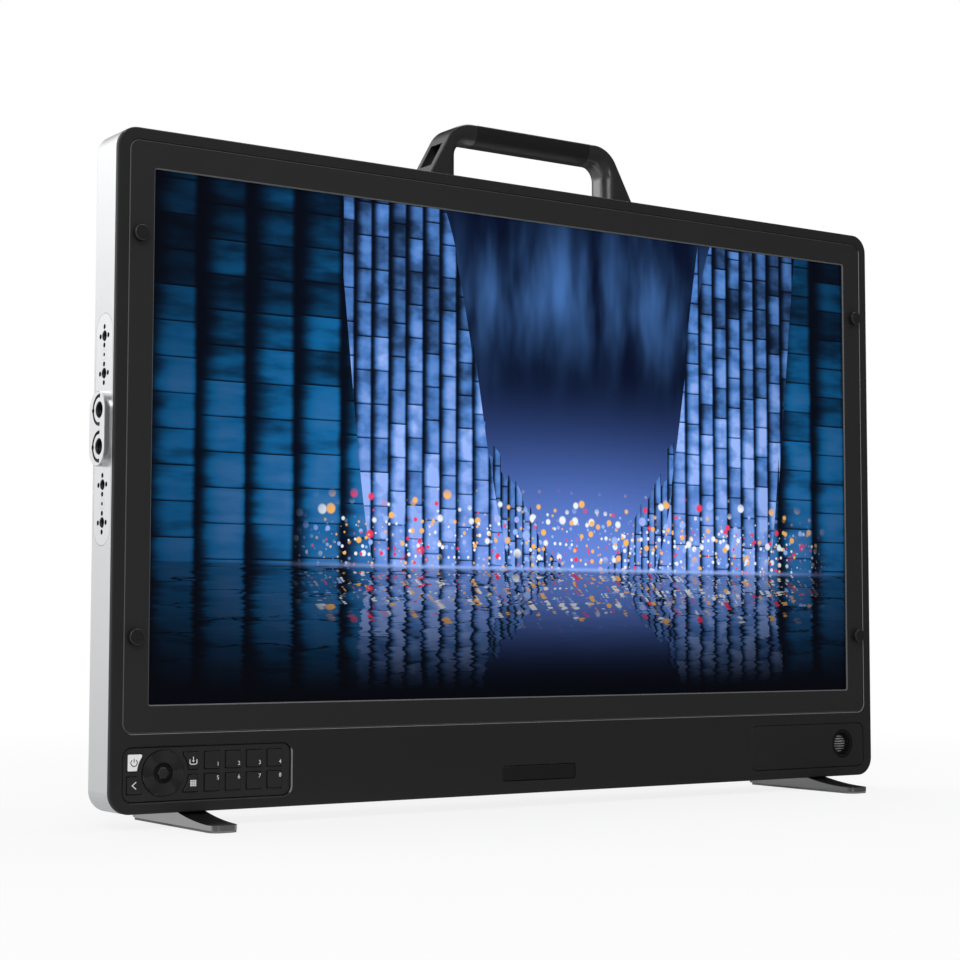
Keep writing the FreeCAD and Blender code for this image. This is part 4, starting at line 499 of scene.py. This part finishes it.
def add_piece(name, mesh, material, body):
    """Link a new mesh as a piece that rides on a CAD body."""
    mesh.materials.clear()
    mesh.materials.append(material)
    piece = bpy.data.objects.new(name, mesh)
    bpy.context.scene.collection.objects.link(piece)
    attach(piece, body)
    return piece


def flat_mesh(name, outlines, origin, thickness):
    """Thin raised print: outlines in millimetres across and up from the origin, which faces -Y."""
    mesh = bpy.data.meshes.new(name)
    shape = bmesh.new()
    for outline in outlines:
        rings = []
        for depth in (-thickness, thickness):
            rings.append([
                shape.verts.new((origin.x + u * MM, origin.y + depth, origin.z + v * MM)) for u, v in outline
            ])
        shape.faces.new(rings[0])
        shape.faces.new(rings[1][::-1])
        for index in range(len(outline)):
            after = (index + 1) % len(outline)
            shape.faces.new((rings[0][after], rings[0][index], rings[1][index], rings[1][after]))
    bmesh.ops.recalc_face_normals(shape, faces=shape.faces)
    shape.to_mesh(mesh)
    shape.free()
    return mesh


# Width of the strokes of the marks on the keys, in millimetres, as the marks below are.
STROKE = 0.5


def arc_band(radius, width, start, stop, steps, centre=(0.0, 0.0)):
    """A bent band as four-sided outlines, between angles in degrees from the right."""
    outlines = []
    for index in range(steps):
        quad = []
        for share, reach in ((0, -0.5), (0, 0.5), (1, 0.5), (1, -0.5)):
            angle = math.radians(start + (stop - start) * (index + share) / steps)
            across = centre[0] + (radius + reach * width) * math.cos(angle)
            quad.append((across, centre[1] + (radius + reach * width) * math.sin(angle)))
        outlines.append(quad)
    return outlines


def bar(left, low, right, high):
    """An upright rectangle as an outline."""
    return [(left, low), (right, low), (right, high), (left, high)]


def power_mark():
    """A broken ring with a bar in its gap."""
    ring = arc_band(radius=1.9, width=STROKE, start=128, stop=412, steps=22)
    return ring + [bar(-STROKE / 2, 0.1, STROKE / 2, 2.3)]


def back_mark():
    """An angle that points left."""
    return [
        [(1.15, 2.15), (1.55, 1.75), (-0.55, 0.0), (-1.35, 0.0)],
        [(-1.35, 0.0), (-0.55, 0.0), (1.55, -1.75), (1.15, -2.15)],
    ]


def input_mark():
    """An arrow that points down into a tray."""
    radius, bend, floor, rim = 1.0, 1.15, -0.95, 0.7
    inner, outer = bend + radius - STROKE / 2, bend + radius + STROKE / 2
    low, high = floor - radius - STROKE / 2, floor - radius + STROKE / 2
    tray = arc_band(radius, STROKE, start=180, stop=270, steps=6, centre=(-bend, floor))
    tray += arc_band(radius, STROKE, start=270, stop=360, steps=6, centre=(bend, floor))
    tray += [bar(-bend, low, bend, high), bar(-outer, floor, -inner, rim), bar(inner, floor, outer, rim)]
    arrow = [bar(-STROKE / 2, 0.0, STROKE / 2, 2.1), [(0.0, -0.95), (0.85, 0.15), (-0.85, 0.15)]]
    return tray + arrow


def menu_mark():
    """Three columns of four short bars."""
    half_width, half_height = 0.55, 0.36
    outlines = []
    for column in (-1.3, 0.0, 1.3):
        for row in (-1.35, -0.45, 0.45, 1.35):
            left, right = column - half_width, column + half_width
            outlines.append(bar(left, row - half_height, right, row + half_height))
    return outlines


def digit_mesh(text, height, origin, thickness):
    """A figure as a thin raised mesh about the origin, facing -Y."""
    figure_share = 0.7
    curve = bpy.data.curves.new("figure", "FONT")
    curve.body = text
    curve.size = height / figure_share
    curve.align_x = "CENTER"
    curve.align_y = "CENTER"
    curve.extrude = thickness
    figure = bpy.data.objects.new("figure", curve)
    bpy.context.scene.collection.objects.link(figure)
    bpy.context.view_layer.update()
    mesh = bpy.data.meshes.new_from_object(figure.evaluated_get(bpy.context.evaluated_depsgraph_get()))
    bpy.data.objects.remove(figure)
    bpy.data.curves.remove(curve)
    mesh.transform(Matrix.Translation(origin) @ Matrix.Rotation(math.radians(90), 4, "X"))
    return mesh


def thread_mesh(name, mouth, inward, radius, length, pitch, depth, clearance):
    """Ridges of a screw thread inside a plain hole along X, from its mouth inwards."""
    mesh = bpy.data.meshes.new(name)
    shape = bmesh.new()
    sides = 40
    turns = int(length / pitch)
    profile = []
    for turn in range(turns):
        profile += [(turn * pitch, radius - clearance), ((turn + 0.5) * pitch, radius - depth)]
    profile.append((turns * pitch, radius - clearance))
    rings = []
    for along, reach in profile:
        ring = []
        for side in range(sides):
            angle = 2 * math.pi * side / sides
            across, up = reach * math.cos(angle), reach * math.sin(angle)
            ring.append(shape.verts.new((mouth.x + inward * along, mouth.y + across, mouth.z + up)))
        rings.append(ring)
    for one, other in zip(rings, rings[1:] + rings[:1]):
        for side in range(sides):
            after = (side + 1) % sides
            shape.faces.new((one[side], one[after], other[after], other[side]))
    bmesh.ops.recalc_face_normals(shape, faces=shape.faces)
    shape.to_mesh(mesh)
    shape.free()
    return mesh


def colour_property(name, description, default):
    """A colour that a user may change."""
    return FloatVectorProperty(
        name=name, description=description, subtype="COLOR", default=default, min=0, max=1
    )


def length_property(name, description, default):
    """A length that a user may change."""
    return FloatProperty(name=name, description=description, default=default, unit="LENGTH", precision=6)


def level_property(name, description, default):
    """A level of light that a user may change."""
    return FloatProperty(name=name, description=description, default=default, min=0)


class FinishSettings(bpy.types.PropertyGroup):
    """Colours of the monitor's own surfaces."""

    frame_colour: colour_property("Frame", "Anodised side frame", (0.82, 0.83, 0.84))
    plate_colour: colour_property("Front plate", "Matt front plate", (0.0175, 0.0175, 0.018))
    surround_colour: colour_property("Surround", "Plate round the picture", (0.0195, 0.0195, 0.020))
    stud_colour: colour_property("Studs", "Blackened studs", (0.014, 0.014, 0.0145))
    handle_colour: colour_property("Handle", "Brackets and grip", (0.010, 0.010, 0.011))
    foot_colour: colour_property("Feet", "Polished feet", (0.62, 0.62, 0.63))
    key_colour: colour_property("Keys", "Key caps", (0.019, 0.019, 0.0195))
    power_key_colour: colour_property("Power key", "Pale key cap", (0.90, 0.90, 0.90))
    legend_colour: colour_property("Legends", "Printed marks", (0.80, 0.80, 0.80))
    rear_colour: colour_property("Rear cover", "Powder-coated cover", (0.022, 0.022, 0.024))
    board_colour: colour_property("Boards", "Solder mask", (0.015, 0.09, 0.045))


class DetailSettings(bpy.types.PropertyGroup):
    """Sizes of the small details that are added to the CAD shapes."""

    print_thickness: length_property("Print", "Height of the printed marks", 0.03 * MM)
    figure_height: length_property("Figures", "Height of the figures on the keys", 2.25 * MM)
    quarter_pitch: length_property("Quarter inch pitch", "Pitch of the smaller threads", 1.27 * MM)
    eighths_pitch: length_property("Three-eighths pitch", "Pitch of the larger threads", 1.5875 * MM)
    thread_depth: length_property("Thread depth", "Depth of the thread ridges", 0.35 * MM)


class PictureSettings(bpy.types.PropertyGroup):
    """Colours and level of the test picture."""

    brightness: level_property("Brightness", "Light level of the picture", 1.0)
    sky_colour: colour_property("Sky", "Top of the sky", (0.0008, 0.004, 0.020))
    haze_colour: colour_property("Haze", "Sky over the shore", (0.055, 0.12, 0.42))
    glow_colour: colour_property("Glow", "Light over the inlet", (0.16, 0.29, 0.82))
    rock_colour: colour_property("Rock", "Lit stone", (0.075, 0.215, 0.58))
    near_colour: colour_property("Near rock", "Lit stone in front", (0.004, 0.135, 0.36))
    shine_colour: colour_property("Shine", "Brightest stone and cold lights", (0.34, 0.50, 1.0))
    shade_colour: colour_property("Shade", "Stone in shade", (0.0002, 0.002, 0.008))
    water_colour: colour_property("Water", "Deep water", (0.0002, 0.0007, 0.0025))
    lamp_colour: colour_property("Lamps", "Warm shore lights", (1.0, 0.52, 0.14))
    accent_colour: colour_property("Accent", "Red shore lights", (0.90, 0.05, 0.14))
    white_colour: colour_property("White", "White shore lights", (0.90, 0.94, 1.0))


class StageSettings(bpy.types.PropertyGroup):
    """Floor, lamps and camera."""

    floor_colour: colour_property("Floor", "Pale floor", (0.90, 0.90, 0.90))
    clean: FloatProperty(
        name="Clean floor", description="Share of plain white in the floor near the monitor",
        default=0.8, min=0, max=1,
    )
    ambient: level_property("Ambient", "Level of the even light", 0.55)
    room: level_property("Room", "Level of the dim room, as gloss shows it", 0.075)
    far_side: level_property("Far side", "Level behind on the right, as gloss shows it", 0.02)
    horizon: level_property("Horizon", "Level low on the bright side, as gloss shows it", 0.95)
    ground: level_property("Ground", "Level of the floor on the bright side, as gloss shows it", 0.45)
    camera_place: FloatVectorProperty(
        name="Camera", description="Where the camera stands", subtype="TRANSLATION",
        default=(-0.7523, -1.04125, 0.1109),
    )
    camera_forward: FloatVectorProperty(
        name="Camera forward", description="Where the camera looks", subtype="DIRECTION",
        default=(0.5644, 0.8223, 0.0722),
    )
    camera_right: FloatVectorProperty(
        name="Camera right", description="What lies to the right in the view", subtype="DIRECTION",
        default=(0.8244, -0.5660, 0.0014),
    )
    lens: FloatProperty(name="Lens", description="Focal length in millimetres", default=76.29, min=1)


# Lamps of the stage, in metres and watts. Each looks at a point over the origin, at the height of its aim.
LAMPS = (
    {
        "name": "side_softbox", "place": (-1.3, 1.6, 1.3), "aim": 0.2,
        "width": 1.0, "height": 1.2, "power": 5.0,
    },
    {
        "name": "front_softbox", "place": (-1.3, -1.6, 1.5), "aim": 0.2,
        "width": 1.0, "height": 1.0, "power": 14.0,
    },
    {
        "name": "top_softbox", "place": (0.5, 0.1, 1.7), "aim": 0.2,
        "width": 1.2, "height": 0.8, "power": 10.0,
    },
    {
        "name": "low_strip", "place": (-0.68, -2.0, 0.15), "aim": 0.0,
        "width": 0.2, "height": 0.5, "power": 1.2,
    },
)


class MONITOR_OT_frame(bpy.types.Operator):
    """Finish the side frame and the side mounts, and add the threads in their holes"""

    bl_idname = "monitor.frame_finish"
    bl_label = "Frame and side mounts"

    def execute(self, context):
        look, detail = context.scene.monitor_finish, context.scene.monitor_detail
        paint(blasted("anodised_frame", look.frame_colour, roughness=0.34), "mid_frame")
        metal = recessed("machined_mount", shaded(look.frame_colour, 1.02), roughness=0.26)
        paint(metal, "side_mount_left", "side_mount_right", "side_mount_screws")
        # The threads are near black: painted shade, as deep inside the holes.
        thread = turned("cut_thread", (0.05, 0.05, 0.052), roughness=0.45)
        for mount in frame["record"]["mounts"]:
            if mount["kind"] == "threaded_hole":
                self.add_thread(mount, detail, thread)
        return {"FINISHED"}

    def add_thread(self, mount, detail, material):
        radius, length = mount["dims"]["r_mm"] * MM, mount["dims"]["length_mm"] * MM
        largest_quarter, clearance = 3.0 * MM, 0.02 * MM
        pitch = detail.eighths_pitch if radius > largest_quarter else detail.quarter_pitch
        outward = mount["axis"][0]
        spot = Vector(mount["pos_m"])
        mouth = Vector((spot.x + outward * length / 2, spot.y, spot.z))
        name = f"thread_{mount['name']}"
        mesh = thread_mesh(name, mouth, -outward, radius, length, pitch, detail.thread_depth, clearance)
        add_piece(name, mesh, material, BODY)


class MONITOR_OT_front(bpy.types.Operator):
    """Finish the front plate, the surround, its studs, the tally window and the gasket"""

    bl_idname = "monitor.front_finish"
    bl_label = "Front plates"

    def execute(self, context):
        look = context.scene.monitor_finish
        low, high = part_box("front_bezel")
        rim, base = 3.0 * MM, 8.0 * MM
        span = ((low.x + rim, high.x - rim), (low.z + base, high.z - rim))
        # edges sets a painted highlight on slanted edges: on the front plate inside the span only, on the
        # surround and the studs all round.
        paint(coated("matt_front", look.plate_colour, edges=0.22, span=span), "front_bezel")
        paint(coated("matt_panel", look.plate_colour), "speaker_panel")
        paint(coated("matt_surround", look.surround_colour, edges=0.12), "screen_surround")
        satin = {"roughness": 0.3, "grain": 3000.0, "relief": 0.08}
        paint(coated("blackened_stud", look.stud_colour, edges=0.06, **satin), "hood_studs")
        window = moulded("smoked_window", (0.010, 0.010, 0.011), roughness=0.3, grain=600.0, relief=0.03)
        paint(window, "tally_lens")
        paint(moulded("gasket_rubber", (0.012, 0.012, 0.012), roughness=0.75), "screen_gasket")
        return {"FINISHED"}


class MONITOR_OT_picture(bpy.types.Operator):
    """Light the picture panel with the test picture"""

    bl_idname = "monitor.picture"
    bl_label = "Picture"

    def execute(self, context):
        paint(lit_panel(context.scene.monitor_picture), "lcd_panel")
        return {"FINISHED"}


class MONITOR_OT_fittings(bpy.types.Operator):
    """Finish the handle, the feet and their pads"""

    bl_idname = "monitor.fittings"
    bl_label = "Handle and feet"

    def execute(self, context):
        look = context.scene.monitor_finish
        # The feet's tops get painted shade: 0.3 of their tone.
        polish = {"roughness": 0.14, "grain": 3000.0, "relief": 0.05, "metallic": 1.0, "top_shade": 0.3}
        paint(blasted("dark_foot", look.foot_colour, **polish), "foot_left", "foot_right")
        satin = {"roughness": 0.28, "grain": 3000.0, "relief": 0.12, "ior": 2.3}
        bracket = coated("satin_bracket", look.handle_colour, **satin)
        paint(bracket, "handle_bracket_left", "handle_bracket_right")
        soft = {"roughness": 0.42, "grain": 2200.0, "relief": 0.2, "ior": 1.5}
        paint(coated("satin_grip", look.handle_colour, **soft), "handle_grip")
        rubber = moulded("pad_rubber", (0.20, 0.20, 0.20), roughness=0.7, grain=900.0, relief=0.3)
        paint(rubber, "foot_pads")
        return {"FINISHED"}


class MONITOR_OT_keypad(bpy.types.Operator):
    """Finish the keypad plate, the keys, the jog ring and the select button"""

    bl_idname = "monitor.keypad"
    bl_label = "Keypad"

    def execute(self, context):
        look = context.scene.monitor_finish
        paint(coated("keypad_face", shaded(look.plate_colour, 1.3), roughness=0.48), "keypad_plate")
        others = ("key_power", "key_switches")
        keys = [name for name in cad_nodes if name.startswith("key_") and name not in others]
        paint(moulded("key_silicone", look.key_colour, roughness=0.46, grain=2600.0, relief=0.06), *keys)
        paint(pale_cap("pale_silicone", look.power_key_colour, (0.10, 0.10, 0.10)), "key_power")
        satin = {"grain": 3000.0, "relief": 0.05}
        ring = coated("satin_ring", shaded(look.key_colour, 0.5), roughness=0.2, ior=2.0, **satin)
        paint(ring, "jog_ring")
        paint(coated("satin_nub", shaded(look.key_colour, 1.2), roughness=0.36, **satin), "select_button")
        return {"FINISHED"}


class MONITOR_OT_legends(bpy.types.Operator):
    """Print the figures and marks on the keys"""

    bl_idname = "monitor.legends"
    bl_label = "Key legends"

    def execute(self, context):
        look, detail = context.scene.monitor_finish, context.scene.monitor_detail
        smooth = {"roughness": 0.5, "grain": 3000.0, "relief": 0.05}
        pale = moulded("pale_ink", look.legend_colour, **smooth)
        grey = moulded("grey_ink", (0.045, 0.045, 0.047), **smooth)
        lip = 0.9 * MM
        self.print_figures(detail, lip, pale)
        marks = {
            "key_power": (power_mark(), grey, "left", "power_key"),
            "key_back": (back_mark(), pale, "left", "key_cap"),
            "key_input": (input_mark(), pale, "right", "key_cap"),
            "key_menu": (menu_mark(), pale, "right", "key_cap"),
        }
        from_left, from_right = 3.9 * MM, 2.9 * MM
        for key, (outlines, ink, side, slot) in marks.items():
            low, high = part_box(key)
            across = low.x + lip + from_left if side == "left" else high.x - lip - from_right
            spot = Vector((across, low.y, (low.z + high.z) / 2))
            mesh = flat_mesh(f"mark_{key}", outlines, spot, detail.print_thickness)
            add_piece(f"mark_{key}", mesh, ink, key)
        return {"FINISHED"}

    def print_figures(self, detail, lip, ink):
        """Figures in the right-hand corners: low on the upper row of keys, high on the lower row."""
        from_side, from_edge, upper_row = 1.2 * MM, 2.3 * MM, 4
        for number in range(1, 9):
            low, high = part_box(f"key_{number}")
            up = low.z + lip + from_edge if number <= upper_row else high.z - lip - from_edge
            spot = Vector((high.x - lip - from_side, low.y, up))
            mesh = digit_mesh(str(number), detail.figure_height, spot, detail.print_thickness)
            add_piece(f"figure_{number}", mesh, ink, f"key_{number}")


class MONITOR_OT_speaker(bpy.types.Operator):
    """Finish the speaker grille and the driver behind it"""

    bl_idname = "monitor.speaker"
    bl_label = "Speaker"

    def execute(self, context):
        look = context.scene.monitor_finish
        paint(coated("grille_black", shaded(look.plate_colour, 0.35), grain=2600.0), "speaker_grille")
        paint(dome("driver_dome", (0.92, 0.92, 0.93), radius=5.8 * MM), "speaker_driver")
        return {"FINISHED"}


class MONITOR_OT_rear(bpy.types.Operator):
    """Finish the rear cover, the wall mount posts and the connectors"""

    bl_idname = "monitor.rear"
    bl_label = "Rear cover and connectors"

    def execute(self, context):
        look = context.scene.monitor_finish
        powder = coated("powder_cover", look.rear_colour, roughness=0.58, grain=1500.0, relief=0.35)
        paint(powder, "rear_cover")
        paint(coated("connector_plate", shaded(look.rear_colour, 0.6), grain=2600.0), "io_plate")
        paint(turned("nickel_plate", (0.62, 0.60, 0.56), roughness=0.24), "sdi_jacks", "hdmi_sockets")
        black = moulded("black_moulding", (0.014, 0.014, 0.015), roughness=0.45)
        paint(black, "data_sockets", "dc_inlet", "headphone_jack")
        paint(turned("steel_post", (0.50, 0.50, 0.51), roughness=0.3), "vesa_posts")
        return {"FINISHED"}


class MONITOR_OT_screws(bpy.types.Operator):
    """Finish the screws"""

    bl_idname = "monitor.screws"
    bl_label = "Screws"

    def execute(self, context):
        dark = turned("dark_screw", (0.10, 0.10, 0.105), roughness=0.34)
        paint(dark, "rear_cover_screws", "fan_screws")
        plain = turned("plain_screw", (0.46, 0.46, 0.47), roughness=0.32)
        paint(plain, "bezel_screws", "handle_screws", "foot_screws", "board_screws")
        return {"FINISHED"}


class MONITOR_OT_inside(bpy.types.Operator):
    """Finish the boards, the fans and the other inner pieces"""

    bl_idname = "monitor.inside"
    bl_label = "Inner pieces"

    def execute(self, context):
        look = context.scene.monitor_finish
        board = circuit("solder_mask", look.board_colour, pad_colour=(0.62, 0.50, 0.24))
        paint(board, "main_board", "power_board", "keypad_board")
        paint(blasted("heat_sink_metal", (0.52, 0.53, 0.54), roughness=0.36), "heat_sink")
        zinc = sheet_metal("zinc_sheet", (0.50, 0.51, 0.52), roughness=0.3)
        paint(zinc, "panel_rails", "chassis_plate")
        paint(moulded("white_tray", (0.66, 0.66, 0.65), roughness=0.5), "backlight_unit")
        fan = moulded("fan_plastic", (0.016, 0.016, 0.017), roughness=0.42)
        paint(fan, "fan_housings", "fan_rotor_left", "fan_rotor_right")
        # Painted shade: the switches and the encoder are darker than the other black mouldings, so the gaps
        # round the keys and the jog ring look shaded.
        switch = moulded("switch_plastic", (0.006, 0.006, 0.0065), roughness=0.6)
        paint(switch, "key_switches", "jog_encoder")
        return {"FINISHED"}


class MONITOR_OT_stage(bpy.types.Operator):
    """Build the floor, the lamps, the even light and the camera"""

    bl_idname = "monitor.stage"
    bl_label = "Stage"

    def execute(self, context):
        settings = context.scene.monitor_stage
        context.scene.view_settings.view_transform = "Standard"
        self.add_floor(settings)
        self.set_world(context.scene, settings)
        for lamp in LAMPS:
            self.add_lamp(**lamp)
        self.add_camera(context.scene, settings)
        return {"FINISHED"}

    def add_floor(self, settings):
        mesh = bpy.data.meshes.new("floor")
        reach = 12.0
        corners = [(-reach, -reach, 0), (reach, -reach, 0), (reach, reach, 0), (-reach, reach, 0)]
        mesh.from_pydata(corners, [], [(0, 1, 2, 3)])
        finish = Finish("pale_floor")
        place = finish.place()
        patches = finish.noise(place, scale=3.0)
        tone = finish.mix(patches, shaded(settings.floor_colour, 0.99), shaded(settings.floor_colour, 1.01))
        finish.surface({"Base Color": tone, "Roughness": 0.85, "Specular IOR Level": 0.1})
        mesh.materials.append(finish.material)
        camera, mirror = seen_rays(finish)
        lit = Value(finish, finish.tree.nodes["Principled BSDF"].outputs["BSDF"])
        shown = self.mirrored_floor(finish, place, settings)
        lit = finish.node("ShaderNodeMixShader", None, [mirror, lit, shown])
        distance = finish.node("ShaderNodeVectorMath", {"operation": "LENGTH"}, [place], "Value")
        share = camera * (settings.clean + distance.fade(0.35, 1.1) * (1 - settings.clean))
        both = finish.node("ShaderNodeMixShader", None, [share, lit, self.glow(finish, 1.0)])
        finish.feed(finish.tree.nodes["Material Output"].inputs["Surface"], both)
        floor = bpy.data.objects.new("floor", mesh)
        bpy.context.scene.collection.objects.link(floor)

    def glow(self, finish, level):
        """Even white light."""
        return finish.node("ShaderNodeEmission", None, {"Color": (1.0, 1.0, 1.0, 1.0), "Strength": level})

    def mirrored_floor(self, finish, place, settings):
        """The floor as gloss shows it: bright on the left, and less so in front of the feet."""
        front_share, blend = 0.2, 0.01
        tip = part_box("foot_left")[0].y
        left = 1 - finish.axis(place, "X").fade(-0.3, 0.4)
        behind = finish.axis(place, "Y").fade(tip - blend, tip + blend)
        share = left * (front_share + (1 - front_share) * behind)
        dim, bright = self.glow(finish, settings.room), self.glow(finish, settings.ground)
        return finish.node("ShaderNodeMixShader", None, [share, dim, bright])

    def set_world(self, scene, settings):
        """White to the camera; gloss shows a bright side behind on the left and a dim room elsewhere."""
        world = bpy.data.worlds.new("even_light")
        world.use_nodes = True
        scene.world = world
        nodes = Nodes(world.node_tree)
        camera, mirror = seen_rays(nodes)
        direction = nodes.node("ShaderNodeTexCoord", None, (), "Generated")
        back = nodes.node("ShaderNodeSeparateXYZ", None, [direction], "Y").fade(-0.3, 0.3)
        left = 1 - nodes.node("ShaderNodeSeparateXYZ", None, [direction], "X").fade(-0.4, 0.3)
        high = nodes.node("ShaderNodeSeparateXYZ", None, [direction], "Z").fade(-0.1, 0.4)
        behind = settings.horizon + high * (1 - settings.horizon)
        aside = settings.far_side + left * (behind - settings.far_side)
        shown = settings.room + back * (aside - settings.room)
        background = world.node_tree.nodes["Background"]
        nodes.feed(background.inputs["Color"], (1.0, 1.0, 1.0, 1.0))
        level = camera + mirror * shown + (1 - camera - mirror) * settings.ambient
        nodes.feed(background.inputs["Strength"], level)

    def add_lamp(self, name, place, aim, width, height, power):
        light = bpy.data.lights.new(name, "AREA")
        light.shape = "RECTANGLE"
        light.size = width
        light.size_y = height
        light.energy = power
        lamp = bpy.data.objects.new(name, light)
        lamp.location = place
        lamp.rotation_euler = (Vector((0.0, 0.0, aim)) - Vector(place)).to_track_quat("-Z", "Y").to_euler()
        bpy.context.scene.collection.objects.link(lamp)

    def add_camera(self, scene, settings):
        camera = bpy.data.cameras.new("camera")
        camera.lens = settings.lens
        camera.sensor_width = 36.0
        view = bpy.data.objects.new("camera", camera)
        forward = Vector(settings.camera_forward).normalized()
        right = Vector(settings.camera_right)
        right = (right - forward * right.dot(forward)).normalized()
        up = right.cross(forward)
        turn = Matrix((right, up, -forward)).transposed()
        view.matrix_world = Matrix.Translation(Vector(settings.camera_place)) @ turn.to_4x4()
        scene.collection.objects.link(view)
        scene.camera = view


class MONITOR_PT_panel(bpy.types.Panel):
    """Finishes, details, picture and stage"""

    bl_label = "Reference monitor"
    bl_idname = "MONITOR_PT_panel"
    bl_space_type = "VIEW_3D"
    bl_region_type = "UI"
    bl_category = "Monitor"

    def draw(self, context):
        scene = context.scene
        for group in (scene.monitor_finish, scene.monitor_detail, scene.monitor_picture, scene.monitor_stage):
            box = self.layout.box()
            for name in group.bl_rna.properties.keys():
                if name not in ("rna_type", "name"):
                    box.prop(group, name)
        for operator in OPERATORS:
            self.layout.operator(operator.bl_idname)


GROUPS = {
    "monitor_finish": FinishSettings,
    "monitor_detail": DetailSettings,
    "monitor_picture": PictureSettings,
    "monitor_stage": StageSettings,
}
OPERATORS = (
    MONITOR_OT_frame, MONITOR_OT_front, MONITOR_OT_picture, MONITOR_OT_fittings, MONITOR_OT_keypad,
    MONITOR_OT_legends, MONITOR_OT_speaker, MONITOR_OT_rear, MONITOR_OT_screws, MONITOR_OT_inside,
    MONITOR_OT_stage,
)


def register():
    for cls in (*GROUPS.values(), *OPERATORS, MONITOR_PT_panel):
        bpy.utils.register_class(cls)
    for name, group in GROUPS.items():
        setattr(bpy.types.Scene, name, PointerProperty(type=group))


def unregister():
    for name in GROUPS:
        delattr(bpy.types.Scene, name)
    for cls in reversed((*GROUPS.values(), *OPERATORS, MONITOR_PT_panel)):
        bpy.utils.unregister_class(cls)


def main():
    register()
    bpy.ops.monitor.frame_finish()
    bpy.ops.monitor.front_finish()
    bpy.ops.monitor.picture()
    bpy.ops.monitor.fittings()
    bpy.ops.monitor.keypad()
    bpy.ops.monitor.legends()
    bpy.ops.monitor.speaker()
    bpy.ops.monitor.rear()
    bpy.ops.monitor.screws()
    bpy.ops.monitor.inside()
    bpy.ops.monitor.stage()


if __name__ == "__main__":
    main()
